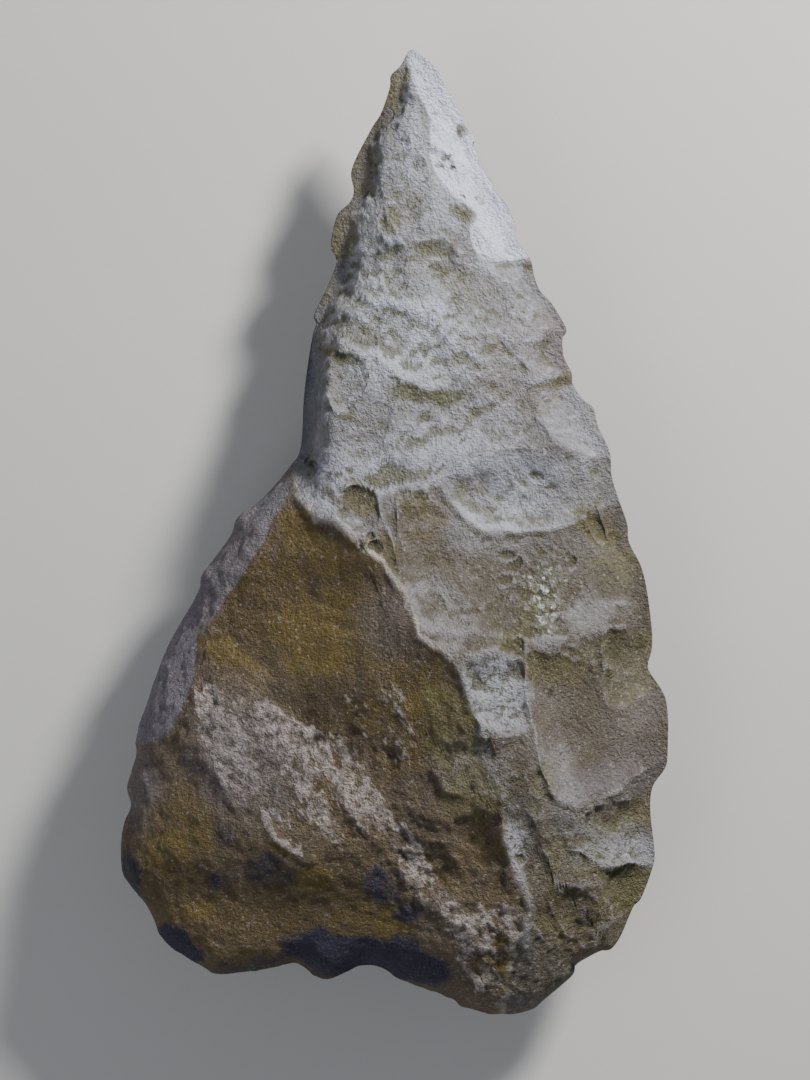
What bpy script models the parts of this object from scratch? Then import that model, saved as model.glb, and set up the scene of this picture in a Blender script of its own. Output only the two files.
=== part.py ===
"""A pointed stone hand axe, knapped from a cobble, lying on its flatter face.

The axe lies along Y with its tip at +Y. Its upper face looks up along +Z, and the flat spot that it
rests on is at z = 0. Places on the upper face are read on a drawing that looks straight down on it: x to
the right, y down, 965 units from the tip to the butt. Heights are shares of the face's own rise above the
edge, and depths of flake scars are metres.
"""

import math

import bmesh
import bpy
import numpy as np
from mathutils import Vector, kdtree, noise

# Sizes, in metres
LENGTH = 0.180
WIDTH = 0.102
UPPER_RISE = 0.026
UNDER_DROP = 0.019
EDGE_SWAY = 0.0012
CORTEX_LUMP = 0.0009

# How finely the stone is worked
SPHERE_SUBDIVISIONS = 7
STEPS_BETWEEN_POINTS = 6
TRIANGLES = 9600

# Colour of the weathered stone
STONE_COLOUR = (0.42, 0.39, 0.35, 1.0)
STONE_ROUGHNESS = 0.85

# The edge in the drawing, stretch by stretch from the tip down the right side and back up the left
BLADE_RIGHT = (
    (411, 50), (424, 57), (437, 69), (452, 97), (466, 126), (475, 138), (474, 147), (486, 173),
    (492, 180), (497, 194), (506, 203), (516, 226), (516, 238), (531, 259), (535, 276), (541, 291),
    (552, 303), (567, 329), (563, 338), (564, 356), (572, 373), (573, 384), (584, 400), (594, 408),
    (598, 425), (610, 452), (612, 476),
)
BUTT_RIGHT = (
    (620, 501), (628, 524), (630, 543), (644, 573), (652, 622), (653, 648), (649, 668), (662, 689),
    (668, 708), (668, 756), (665, 769), (653, 787), (651, 812), (655, 852), (652, 870), (641, 899),
    (634, 906), (621, 937), (611, 950),
)
BUTT_END = (
    (602, 951), (588, 958), (576, 966), (573, 976), (545, 1000), (532, 1010), (505, 1015), (466, 1008),
    (452, 998), (428, 990), (400, 979), (387, 970), (372, 965), (358, 966), (330, 979), (314, 975),
    (297, 962), (270, 968), (222, 974), (205, 968), (172, 948), (160, 935),
)
CORTEX_LEFT = (
    (153, 918), (145, 903), (125, 876), (121, 850), (124, 824), (131, 805), (127, 786), (137, 757),
    (138, 735), (150, 694), (168, 645), (199, 591), (203, 574), (230, 537), (238, 517), (260, 501),
    (290, 467),
)
NECK_LEFT = (
    (301, 447), (304, 400), (308, 365), (313, 335),
)
BLADE_LEFT = (
    (317, 322), (314, 315), (330, 281), (337, 259), (331, 247), (337, 216), (350, 202), (354, 190),
    (352, 168), (372, 128), (381, 114), (390, 88), (391, 76), (401, 66),
)
# Each stretch with the slope of the upper face by the edge, the radius of a rounded edge in metres, and how
# crisply that bevel ends on the face
STRETCHES = (
    (BLADE_RIGHT, 0.74, 0.0, 6.0),
    (BUTT_RIGHT, 0.95, 0.0003, 5.0),
    (BUTT_END, 0.45, 0.0130, 3.0),
    (CORTEX_LEFT, 0.40, 0.0105, 3.4),
    (NECK_LEFT, 3.0, 0.0, 9.0),
    (BLADE_LEFT, 0.85, 0.0, 6.0),
)
EDGE_BLEND = 22
EDGE_LOOKS = 7
RIGHT_EDGE_BLEND = 40
# The middle of the blade and the butt, as (y, x): the faces are drawn out from this line to the edge
SPINE = ((160, 413), (300, 434), (420, 446), (560, 428), (700, 402))
TIP_Y = 50
ROUND_EDGE = 0.005
RIM_BUNCHING = 0.8
# How much of the edge's length is evened out in the middle of the faces, and how near it its notches begin
EVENED_SHARE = 0.035
NOTCH_REACH = 9

# Cross-sections of the upper face: y, shoulder x and height, trough x and height, crest x and height, height
# at the right edge, and the fall to the left of the shoulder in 100 units
SECTIONS = (
    (40, 330, 0.02, 370, 0.02, 411, 0.02, 0.00, 0.00),
    (105, 325, 0.14, 365, 0.14, 405, 0.14, 0.03, 0.00),
    (165, 300, 0.21, 340, 0.21, 380, 0.21, 0.05, 0.00),
    (225, 280, 0.27, 320, 0.27, 362, 0.28, 0.08, 0.00),
    (270, 280, 0.32, 315, 0.32, 357, 0.33, 0.10, 0.00),
    (310, 262, 0.37, 302, 0.37, 343, 0.38, 0.12, 0.00),
    (360, 250, 0.42, 290, 0.43, 330, 0.44, 0.14, 0.00),
    (410, 240, 0.47, 285, 0.48, 326, 0.49, 0.16, 0.00),
    (468, 240, 0.43, 270, 0.46, 303, 0.55, 0.18, 0.05),
    (490, 238, 0.42, 262, 0.44, 306, 0.59, 0.20, 0.08),
    (525, 240, 0.43, 275, 0.46, 343, 0.68, 0.20, 0.10),
    (555, 232, 0.45, 270, 0.49, 366, 0.75, 0.20, 0.12),
    (590, 222, 0.47, 265, 0.51, 400, 0.84, 0.22, 0.14),
    (632, 208, 0.52, 262, 0.52, 417, 0.92, 0.22, 0.16),
    (662, 200, 0.56, 262, 0.53, 455, 0.96, 0.24, 0.18),
    (716, 198, 0.60, 300, 0.55, 478, 1.00, 0.25, 0.20),
    (760, 215, 0.61, 350, 0.59, 490, 0.94, 0.25, 0.20),
    (808, 240, 0.60, 400, 0.64, 502, 0.84, 0.24, 0.18),
    (860, 290, 0.58, 440, 0.64, 510, 0.75, 0.22, 0.14),
    (905, 380, 0.55, 470, 0.62, 527, 0.69, 0.18, 0.09),
    (940, 420, 0.54, 475, 0.60, 522, 0.64, 0.15, 0.05),
    (990, 440, 0.46, 475, 0.52, 512, 0.55, 0.12, 0.03),
    (1030, 440, 0.34, 475, 0.39, 512, 0.44, 0.08, 0.02),
)
RIGHT_BULGE = 1.15
LEFT_HOLLOW = 1.15
SHOULDER_HOLLOW = 2
# How far past the right edge the slope goes on, as a share of its width
PAST_RIGHT_EDGE = 1.2

# Flake scars of the upper face: deepest point, depth, and the corners of the scar's border
UPPER_SCARS = {
    "tip_facet": ((490, 200), 0.0009, (
        (408, 46), (424, 100), (430, 168), (470, 214), (476, 266), (512, 296), (575, 312), (560, 230),
        (470, 60),
    )),
    "tip_left": ((397, 90), 0.0006, (
        (404, 56), (409, 66), (408, 84), (402, 108), (392, 114), (374, 112), (380, 76),
    )),
    "left_first": ((360, 172), 0.0008, (
        (370, 142), (380, 150), (380, 178), (373, 203), (350, 206), (336, 186), (340, 158),
    )),
    "left_second": ((343, 236), 0.0008, (
        (348, 214), (361, 224), (360, 248), (350, 258), (328, 260), (316, 240), (326, 216),
    )),
    "left_third": ((342, 270), 0.0007, (
        (346, 255), (358, 264), (356, 284), (340, 288), (318, 284), (324, 262),
    )),
    "left_fourth": ((326, 304), 0.0006, (
        (334, 285), (350, 291), (342, 318), (322, 326), (302, 312), (312, 288),
    )),
    "tip_long": ((405, 190), 0.0006, (
        (403, 100), (424, 100), (430, 168), (458, 212), (436, 236), (414, 244), (385, 215), (380, 178),
        (380, 150),
    )),
    "neck_flute": ((385, 270), 0.0007, (
        (362, 225), (412, 246), (414, 272), (404, 302), (352, 304), (357, 284), (352, 262),
    )),
    "plateau_left": ((358, 436), 0.0008, (
        (385, 370), (402, 374), (394, 430), (384, 462), (350, 478), (306, 464), (322, 425), (352, 392),
    )),
    "pale_facet": ((388, 478), 0.0007, (
        (352, 480), (384, 462), (400, 450), (436, 472), (397, 486), (378, 490),
    )),
    "crest_sliver": ((393, 542), 0.0006, (
        (382, 505), (397, 486), (404, 560), (408, 600), (394, 578), (376, 545),
    )),
    "neck_upper": ((398, 335), 0.0008, (
        (334, 318), (337, 338), (354, 351), (402, 374), (438, 392), (470, 372), (462, 338), (410, 308),
        (352, 304),
    )),
    "neck_lower": ((345, 376), 0.0009, (
        (330, 352), (360, 356), (367, 372), (362, 396), (346, 417), (331, 414), (322, 392),
    )),
    "plateau": ((466, 424), 0.0009, (
        (388, 380), (470, 372), (540, 385), (534, 446), (500, 448), (436, 472), (392, 480), (372, 440),
    )),
    "blade_shadow": ((466, 286), 0.0007, (
        (428, 258), (472, 262), (520, 290), (560, 322), (520, 334), (470, 337), (438, 316),
    )),
    "blade_hollow": ((432, 250), 0.0005, (
        (414, 246), (436, 237), (456, 250), (458, 272), (432, 286), (412, 270),
    )),
    "edge_notch": ((556, 350), 0.0007, (
        (520, 340), (546, 334), (590, 328), (590, 372), (548, 378), (522, 366),
    )),
    "edge_second": ((574, 402), 0.0012, (
        (536, 406), (546, 382), (590, 366), (640, 400), (640, 462), (598, 464), (570, 457), (550, 442),
    )),
    "edge_third": ((500, 504), 0.0017, (
        (436, 473), (446, 502), (466, 525), (487, 535), (532, 532), (584, 521), (650, 500), (650, 462),
        (560, 450), (500, 448),
    )),
    "great_middle": ((440, 592), 0.0021, (
        (397, 485), (436, 472), (500, 447), (560, 450), (670, 470), (680, 600), (600, 650), (560, 644),
        (500, 652), (466, 658), (430, 642), (404, 598), (396, 560),
    )),
    "notch_bowl": ((360, 500), 0.0010, (
        (337, 490), (350, 485), (364, 483), (378, 490), (382, 504), (380, 524), (364, 538), (348, 528),
        (337, 510),
    )),
    "oval": ((593, 525), 0.0009, ((583, 508), (592, 504), (602, 528), (605, 546), (593, 542), (585, 526))),
    "oval_edge": ((620, 540), 0.0007, ((608, 532), (622, 528), (650, 545), (640, 566), (614, 550))),
    "pit_bowl": ((513, 640), 0.0006, (
        (502, 634), (512, 628), (522, 634), (523, 650), (512, 656), (503, 650),
    )),
    "rough_facet": ((494, 694), 0.0013, (
        (458, 660), (494, 650), (523, 659), (531, 727), (500, 729), (478, 719), (464, 696),
    )),
    "great_lower": ((574, 742), 0.0026, (
        (523, 642), (558, 639), (592, 651), (700, 690), (700, 756), (612, 797), (586, 804), (556, 793),
        (540, 772), (530, 730),
    )),
    "edge_fourth": ((628, 664), 0.0013, (
        (604, 628), (626, 622), (650, 626), (690, 650), (680, 692), (640, 702), (611, 717), (603, 690),
    )),
    "edge_fifth": ((626, 818), 0.0014, (
        (558, 806), (612, 797), (652, 777), (700, 770), (700, 850), (640, 863), (598, 860), (562, 832),
    )),
    "edge_sixth": ((626, 880), 0.0014, (
        (598, 862), (642, 864), (690, 866), (670, 910), (622, 916), (603, 897),
    )),
    "butt_hollow": ((562, 897), 0.0012, (
        (546, 884), (562, 877), (586, 882), (603, 905), (600, 935), (572, 948), (546, 940), (530, 914),
    )),
    "cortex_break": ((484, 830), 0.0005, (
        (478, 802), (501, 807), (507, 850), (516, 880), (500, 896), (470, 891), (445, 870), (440, 830),
        (456, 808),
    )),
    "crest_hollow": ((488, 752), 0.0008, (
        (430, 744), (468, 731), (522, 730), (530, 762), (505, 792), (470, 792), (446, 786),
    )),
    "crest_strip": ((534, 852), 0.0006, (
        (505, 812), (524, 800), (546, 846), (552, 888), (538, 907), (520, 882),
    )),
}
SCAR_DEPTH = 1.7
BORDER_CRISPNESS = 9.0
# How far the borders of the scars wander, and the lengths of that wandering, in units of the drawing
BORDER_WANDER = 5.0
WANDER_SPAN = 38
WANDER_FINE_SPAN = 15
# The lumps of the cobble's crust, in units of the drawing
LUMP_SPAN = 60
LUMP_FINE_SPAN = 27
# How much of the stone's thickness above the edge a flake may take
MOST_CUT = 0.75
CUT_CRISPNESS = 4.0

# Small flakes struck off along the knapped edge to sharpen it: how many go round, and their size in metres
RETOUCH = 74
RETOUCH_REACH = 0.0062
RETOUCH_WIDTH = 0.0042
RETOUCH_DEPTH = 0.0008

# The underside, which the drawing doesn't show: a lower dome with large flake scars, cut flat where it rests
UNDER_CROWN = (425, 680)
UNDER_BULGE = 1.28
UNDER_BEVEL = 0.80
UNDER_CRISPNESS = 3.0
LEAST_DOME = 0.02
UNDER_FLAKES = 13
UNDER_FLAKE_REACH = 0.036
UNDER_FLAKE_WIDTH = 0.019
UNDER_FLAKE_DEPTH = 0.0030
# How far apart the noise is read for one flake and the next, and for one trait of a flake and the next
FLAKE_STEP = 1.37
TRAIT_STEP = 5.1


def closed_curve(points, steps):
    """A smooth closed line through the points, with that many samples from each point to the next."""
    before, here = np.roll(points, 1, axis=0), points
    after, later = np.roll(points, -1, axis=0), np.roll(points, -2, axis=0)
    samples = []
    for step in range(steps):
        t = step / steps
        samples.append(
            0.5
            * (
                2 * here
                + (after - before) * t
                + (2 * before - 5 * here + 4 * after - later) * t**2
                + (3 * here - before - 3 * after + later) * t**3
            )
        )
    return np.stack(samples, axis=1).reshape(-1, points.shape[1])


def evenly_along(line, shares):
    """Points at those shares of a closed line's length."""
    ends = np.vstack([line, line[:1]])
    travelled = np.concatenate([[0], np.cumsum(np.linalg.norm(np.diff(ends, axis=0), axis=1))])
    wanted = shares % 1.0 * travelled[-1]
    return np.stack([np.interp(wanted, travelled, ends[:, axis]) for axis in (0, 1)], axis=1)


def through(stations, y):
    """Each column of the stations at y, on a smooth line that doesn't overshoot them."""
    at = stations[:, 0]
    gap = np.diff(at)
    rise = np.diff(stations[:, 1:], axis=0) / gap[:, None]
    slope = np.zeros_like(stations[:, 1:])
    both, total = rise[1:] * rise[:-1], rise[1:] + rise[:-1]
    slope[1:-1] = np.where(both > 0, 2 * both / np.where(both > 0, total, 1), 0)
    y = np.clip(y, at[0], at[-1])
    i = np.clip(np.searchsorted(at, y, side="right") - 1, 0, len(at) - 2)
    t = ((y - at[i]) / gap[i])[:, None]
    low, high, width = stations[i, 1:], stations[i + 1, 1:], gap[i][:, None]
    return (
        low * (1 + 2 * t) * (1 - t) ** 2
        + high * t**2 * (3 - 2 * t)
        + (slope[i] * t * (1 - t) ** 2 + slope[i + 1] * t**2 * (t - 1)) * width
    ).T


def softer_of(a, b, crispness):
    """The smaller of two heights, rounded where they meet: the crisper, the sharper."""
    a, b = np.maximum(a, 1e-9), np.maximum(b, 1e-9)
    low, high = np.minimum(a, b), np.maximum(a, b)
    return low * (1 + (low / high) ** crispness) ** (-1 / crispness)


def scar_depth(x, y, deepest, depth, corners):
    """How deep one flake scar lies below the face: deepest at one point, and nothing on its border."""
    corners = np.array(corners, float)
    sides = np.roll(corners, -1, axis=0) - corners
    outward = np.stack([sides[:, 1], -sides[:, 0]], axis=1)
    reach = ((corners - deepest) * outward).sum(axis=1)
    outward *= np.sign(reach)[:, None]
    reach = np.abs(reach)
    total = np.zeros_like(x)
    for (nx, ny), distance in zip(outward, reach):
        share = ((x - deepest[0]) * nx + (y - deepest[1]) * ny) / distance
        total += np.maximum(share, 0) ** BORDER_CRISPNESS
    share = total ** (1 / BORDER_CRISPNESS)
    return depth * np.maximum(1 - share**2, 0)


def upper_loft(x, y, right_x):
    """The upper face before any flake: a trough on the left, a crest, and a long slope to the right edge."""
    columns = through(np.array(SECTIONS, float), y)
    shoulder_x, shoulder, trough_x, trough, crest_x, crest, foot, fall = columns
    to_foot = np.clip((x - crest_x) / np.maximum(right_x - crest_x, 1), 0, PAST_RIGHT_EDGE)
    right = crest + (foot - crest) * to_foot**RIGHT_BULGE
    to_crest = np.clip((x - trough_x) / (crest_x - trough_x), 0, 1)
    to_shoulder = np.clip((trough_x - x) / (trough_x - shoulder_x), 0, 1)
    left = trough + (crest - trough) * to_crest**LEFT_HOLLOW
    left += (shoulder - trough) * to_shoulder**SHOULDER_HOLLOW
    left -= fall * np.maximum(shoulder_x - x, 0) / 100
    return np.where(x > crest_x, right, left)


def lumps(x, y, size, seed):
    """A soft unevenness from -1 to 1, with lumps of about that many drawing units."""
    return np.array([noise.noise(Vector((a / size, b / size, seed))) for a, b in zip(x, y)])


class Drawing:
    """The drawing's edge, its bevels, and its scale to the real stone."""

    def __init__(self):
        self.corners = np.array([point for stretch in STRETCHES for point in stretch[0]], float)
        lengths = [len(stretch[0]) for stretch in STRETCHES]
        self.bevels = np.repeat([stretch[1:] for stretch in STRETCHES], lengths, axis=0)
        self.line = closed_curve(self.corners, STEPS_BETWEEN_POINTS)
        self.low, self.high = self.line.min(axis=0), self.line.max(axis=0)
        self.unit = LENGTH / (self.high[1] - self.low[1])
        samples = evenly_along(self.line, np.arange(4 * len(self.line)) / (4 * len(self.line)))
        self.tree = kdtree.KDTree(len(samples))
        for i, (x, y) in enumerate(samples):
            self.tree.insert((x, y, 0), i)
        self.tree.balance()
        right = self.corners[: len(BLADE_RIGHT) + len(BUTT_RIGHT)]
        self.right_y = np.arange(right[0, 1], right[-1, 1])
        order = np.argsort(right[:, 1])
        self.right_x = np.interp(self.right_y, right[order, 1], right[order, 0])
        slow = np.pad(self.right_x, RIGHT_EDGE_BLEND, mode="reflect", reflect_type="odd")
        window = np.hanning(2 * RIGHT_EDGE_BLEND + 1)
        self.right_x = np.convolve(slow, window / window.sum(), mode="valid")

    def plan(self, x, y):
        """Metres along X and Y of a place in the drawing."""
        middle = (self.low + self.high) / 2
        size = self.high - self.low
        return (x - middle[0]) * WIDTH / size[0], (middle[1] - y) * LENGTH / size[1]

    def to_edge(self, x, y):
        """The distance to the edge in metres, a mean over places around, so that notches fade inwards."""
        near = np.array([self.tree.find((a, b, 0))[2] for a, b in zip(x, y)])
        total = near.copy()
        for turn in np.arange(EDGE_LOOKS) * (2 * math.pi / EDGE_LOOKS):
            a, b = x + 0.6 * near * math.cos(turn), y + 0.6 * near * math.sin(turn)
            total += np.array([self.tree.find((u, v, 0))[2] for u, v in zip(a, b)])
        return total / (EDGE_LOOKS + 1) * self.unit

    def bevel(self, x, y):
        """The slope, radius and crispness of the bevel, blended from the nearest parts of the edge."""
        total, weights = np.zeros((len(x), 3)), np.zeros((len(x), 1))
        for corner, bevel in zip(self.corners, self.bevels):
            apart = (x - corner[0]) ** 2 + (y - corner[1]) ** 2 + EDGE_BLEND**2
            weight = (1 / apart**2)[:, None]
            total += weight * bevel
            weights += weight
        return (total / weights).T

    def right_edge(self, y):
        """The drawing's right edge at that height, without its notches."""
        return np.interp(y, self.right_y, self.right_x)


def edge_height(x, y):
    """The edge isn't level: it sways a little above and below its plane."""
    return EDGE_SWAY * (np.sin(y / 61 + 0.6) * 0.6 + np.sin(y / 23 + x / 90) * 0.4)


def rounded_part(radius):
    """How far the edge is a cobble's round one and not a knapped one, from 0 to 1."""
    return np.clip(radius / ROUND_EDGE, 0, 1)


def struck_along(drawing, x, y, count, reach, width, depth, seed):
    """How deep a row of flakes that were struck off round the edge leave the face."""
    starts = (np.arange(count) + seed % 1) / count
    edge = evenly_along(drawing.line, starts)
    ahead = evenly_along(drawing.line, starts + 0.004)
    deepest = np.zeros_like(x)
    for i, ((ex, ey), (ax, ay)) in enumerate(zip(edge, ahead)):
        vary = [noise.noise(Vector((i * FLAKE_STEP, seed, k * TRAIT_STEP))) for k in range(4)]
        turn = math.atan2(ay - ey, ax - ex) + math.pi / 2 + vary[0] * 1.1
        size = 1 + 0.9 * vary[1]
        across = ((x - ex) * -math.sin(turn) + (y - ey) * math.cos(turn)) * drawing.unit
        inward = ((x - ex) * math.cos(turn) + (y - ey) * math.sin(turn)) * drawing.unit
        out_of = (inward / (reach * size)) ** 2 + (across / (width * size * (1 + 0.4 * vary[2]))) ** 2
        deepest = np.maximum(deepest, depth * size * (1 + 0.5 * vary[3]) * (1 - out_of))
    return deepest


def wandered(x, y):
    """Places moved a little aside, so that the borders of scars wander."""
    aside = lumps(x, y, WANDER_SPAN, 3.5) + 0.4 * lumps(x, y, WANDER_FINE_SPAN, 6.5)
    above = lumps(x, y, WANDER_SPAN, 12.5) + 0.4 * lumps(x, y, WANDER_FINE_SPAN, 17.5)
    return x + BORDER_WANDER * aside, y + BORDER_WANDER * above


def upper_face(drawing, x, y):
    """Height of the upper face above the edge, in metres."""
    distance = drawing.to_edge(x, y)
    slope, radius, crisp = drawing.bevel(x, y)
    cobble = rounded_part(radius)
    loft = upper_loft(x, y, drawing.right_edge(y)) * UPPER_RISE
    loft += CORTEX_LUMP * cobble * (lumps(x, y, LUMP_SPAN, 1.5) + 0.5 * lumps(x, y, LUMP_FINE_SPAN, 8.5))
    height = softer_of(loft, np.sqrt((slope * distance) ** 2 + 2 * radius * distance), crisp)
    cut = np.zeros_like(x)
    moved = wandered(x, y)
    for deepest, depth, corners in UPPER_SCARS.values():
        cut += scar_depth(*moved, deepest, depth * SCAR_DEPTH, corners)
    retouch = struck_along(drawing, x, y, RETOUCH, RETOUCH_REACH, RETOUCH_WIDTH, RETOUCH_DEPTH, 2.3)
    cut += retouch * (1 - cobble)
    return height - softer_of(cut, height * MOST_CUT, CUT_CRISPNESS)


def under_face(drawing, x, y):
    """Depth of the underside below the edge, in metres, before the stone is flattened where it rests."""
    distance = drawing.to_edge(x, y)
    _, radius, _ = drawing.bevel(x, y)
    cobble = rounded_part(radius)
    across = (x - UNDER_CROWN[0]) / 370
    along = (y - UNDER_CROWN[1]) / np.where(y < UNDER_CROWN[1], 710, 480)
    dome = UNDER_DROP * UNDER_BULGE * np.maximum(1 - across**2 - along**2, LEAST_DOME)
    uneven = lumps(x, y, LUMP_SPAN, 21.5) + 0.5 * lumps(x, y, LUMP_FINE_SPAN, 28.5)
    dome += CORTEX_LUMP * uneven * np.clip(distance / ROUND_EDGE, 0, 1)
    bevel = np.sqrt((UNDER_BEVEL * distance) ** 2 + 2 * radius * distance)
    height = softer_of(dome, bevel, UNDER_CRISPNESS)
    flakes = struck_along(
        drawing, x, y, UNDER_FLAKES, UNDER_FLAKE_REACH, UNDER_FLAKE_WIDTH, UNDER_FLAKE_DEPTH, 7.6
    )
    retouch = struck_along(drawing, x, y, RETOUCH, RETOUCH_REACH, RETOUCH_WIDTH, RETOUCH_DEPTH, 4.8)
    cut = flakes * (1 - 0.7 * cobble) + retouch * (1 - cobble)
    return height - softer_of(cut, height * MOST_CUT, CUT_CRISPNESS)


def placed(drawing, ball):
    """Where in the drawing each corner of a ball goes: its equator to the edge, its poles to the butt."""
    around = -np.arctan2(ball[:, 1], ball[:, 0]) / (2 * math.pi)
    rim = evenly_along(drawing.line, around)
    nearby = np.linspace(-EVENED_SHARE, EVENED_SHARE, 31)
    weights = np.hanning(33)[1:-1]
    evened = np.zeros_like(rim)
    for step, weight in zip(nearby, weights / weights.sum()):
        evened += weight * evenly_along(drawing.line, around + step)
    height = np.abs(ball[:, 2])
    even = 1 - RIM_BUNCHING * rounded_part(drawing.bevel(*rim.T)[1])
    share = np.sqrt(np.clip(1 - even * height - (1 - even) * height**2, 0, 1))[:, None]
    rim = evened + (rim - evened) * share**NOTCH_REACH
    spine_y, spine_x = np.array(SPINE, float).T
    middle_y = np.interp(rim[:, 1], (TIP_Y, spine_y[-1]), (spine_y[0], spine_y[-1]))
    middle = np.stack([np.interp(middle_y, spine_y, spine_x), middle_y], axis=1)
    centre = np.array((spine_x[-1], spine_y[-1]))
    return (centre + share * (2 - share) * (middle - centre) + share * (rim - middle)).T


def stone_mesh():
    """A sphere whose equator is drawn out to the edge, and whose two halves are the two faces."""
    mesh = bpy.data.meshes.new("hand_axe")
    bm = bmesh.new()
    bmesh.ops.create_icosphere(bm, subdivisions=SPHERE_SUBDIVISIONS, radius=1.0)
    bm.to_mesh(mesh)
    bm.free()
    ball = np.empty(len(mesh.vertices) * 3)
    mesh.vertices.foreach_get("co", ball)
    ball = ball.reshape(-1, 3)

    drawing = Drawing()
    x, y = placed(drawing, ball)
    is_upper = ball[:, 2] > 1e-6
    is_under = ball[:, 2] < -1e-6
    z = edge_height(x, y)
    z[is_upper] += upper_face(drawing, x[is_upper], y[is_upper])
    z[is_under] -= under_face(drawing, x[is_under], y[is_under])
    z = np.maximum(z, -UNDER_DROP) + UNDER_DROP

    metres_x, metres_y = drawing.plan(x, y)
    mesh.vertices.foreach_set("co", np.stack([metres_x, metres_y, z], axis=1).ravel())
    mesh.update()
    return mesh


def stone_material():
    material = bpy.data.materials.new("weathered_stone")
    material.use_nodes = True
    shader = material.node_tree.nodes["Principled BSDF"]
    shader.inputs["Base Color"].default_value = STONE_COLOUR
    shader.inputs["Roughness"].default_value = STONE_ROUGHNESS
    shader.inputs["Metallic"].default_value = 0.0
    return material


def hand_axe():
    mesh = stone_mesh()
    mesh.materials.append(stone_material())
    stone = bpy.data.objects.new("hand_axe", mesh)
    bpy.context.scene.collection.objects.link(stone)
    facets = stone.modifiers.new("facets", "DECIMATE")
    facets.ratio = TRIANGLES / len(mesh.polygons)
    return stone


def main():
    for leftover in list(bpy.data.objects):
        bpy.data.objects.remove(leftover)
    hand_axe()


if __name__ == "__main__":
    main()
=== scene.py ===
"""The hand axe's weathered surface, finely knapped and grained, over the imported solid.

The floor, the light and the camera are here too.
"""

import math

import bmesh
import bpy
import numpy as np
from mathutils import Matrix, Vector, kdtree, noise


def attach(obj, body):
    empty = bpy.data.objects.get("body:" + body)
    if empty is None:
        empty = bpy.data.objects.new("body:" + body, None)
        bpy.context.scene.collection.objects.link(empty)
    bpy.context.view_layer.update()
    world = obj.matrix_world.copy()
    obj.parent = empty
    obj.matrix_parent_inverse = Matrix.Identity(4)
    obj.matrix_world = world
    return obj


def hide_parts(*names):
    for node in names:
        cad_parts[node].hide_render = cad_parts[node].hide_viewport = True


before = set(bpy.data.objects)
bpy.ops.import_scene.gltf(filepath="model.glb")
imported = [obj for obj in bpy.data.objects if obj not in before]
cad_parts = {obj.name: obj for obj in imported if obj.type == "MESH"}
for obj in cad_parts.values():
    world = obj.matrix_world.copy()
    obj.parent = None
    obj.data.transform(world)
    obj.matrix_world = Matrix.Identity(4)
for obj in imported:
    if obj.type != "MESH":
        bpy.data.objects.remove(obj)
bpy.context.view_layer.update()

# Sizes, in metres
LENGTH = 0.180
WIDTH = 0.102
UPPER_RISE = 0.026
UNDER_DROP = 0.019
EDGE_SWAY = 0.0012
CORTEX_LUMP = 0.0009

# The drawing is in the photograph's own units, with y downwards. Its edge has this many samples from each
# point to the next
STEPS_BETWEEN_POINTS = 6
# The photograph's height and middle, and the stone's in it
PHOTO_HIGH = 1080
PHOTO_MIDDLE = (405, 540)
STONE_HIGH = 965
STONE_MIDDLE = (394.5, 532.5)
# The camera's lens and the long side of its film, in millimetres
LENS = 150.0
FILM_HIGH = 36.0
# The lamps: bearing from +X and height in degrees, distance and size in metres, power in watts, and colour
LAMPS = {
    "key": (50, 34, 0.6, 0.10, 5.9, (1.0, 0.99, 0.97)),
    "fill": (215, 44, 1.2, 0.9, 4.6, (0.86, 0.90, 1.0)),
}
# The light of the room around: its colour and strength
ROOM_COLOUR = (0.80, 0.84, 0.90, 1)
ROOM_STRENGTH = 0.16
# The floor: how far it reaches to each side, and how far it lies below the stone, in metres
FLOOR_SIZE = 3.0
FLOOR_DROP = 0.0001

# The edge in the drawing, stretch by stretch from the tip down the right side and back up the left
BLADE_RIGHT = (
    (411, 50), (424, 57), (437, 69), (452, 97), (466, 126), (475, 138), (474, 147), (486, 173), (492, 180),
    (497, 194), (506, 203), (516, 226), (516, 238), (531, 259), (535, 276), (541, 291), (552, 303),
    (567, 329), (563, 338), (564, 356), (572, 373), (573, 384), (584, 400), (594, 408), (598, 425),
    (610, 452), (612, 476),
)
BUTT_RIGHT = (
    (620, 501), (628, 524), (630, 543), (644, 573), (652, 622), (653, 648), (649, 668), (662, 689),
    (668, 708), (668, 756), (665, 769), (653, 787), (651, 812), (655, 852), (652, 870), (641, 899),
    (634, 906), (621, 937), (611, 950),
)
BUTT_END = (
    (602, 951), (588, 958), (576, 966), (573, 976), (545, 1000), (532, 1010), (505, 1015), (466, 1008),
    (452, 998), (428, 990), (400, 979), (387, 970), (372, 965), (358, 966), (330, 979), (314, 975),
    (297, 962), (270, 968), (222, 974), (205, 968), (172, 948), (160, 935),
)
CORTEX_LEFT = (
    (153, 918), (145, 903), (125, 876), (121, 850), (124, 824), (131, 805), (127, 786), (137, 757),
    (138, 735), (150, 694), (168, 645), (199, 591), (203, 574), (230, 537), (238, 517), (260, 501),
    (290, 467),
)
NECK_LEFT = ((301, 447), (304, 400), (308, 365), (313, 335))
BLADE_LEFT = (
    (317, 322), (314, 315), (330, 281), (337, 259), (331, 247), (337, 216), (350, 202), (354, 190),
    (352, 168), (372, 128), (381, 114), (390, 88), (391, 76), (401, 66),
)
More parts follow.
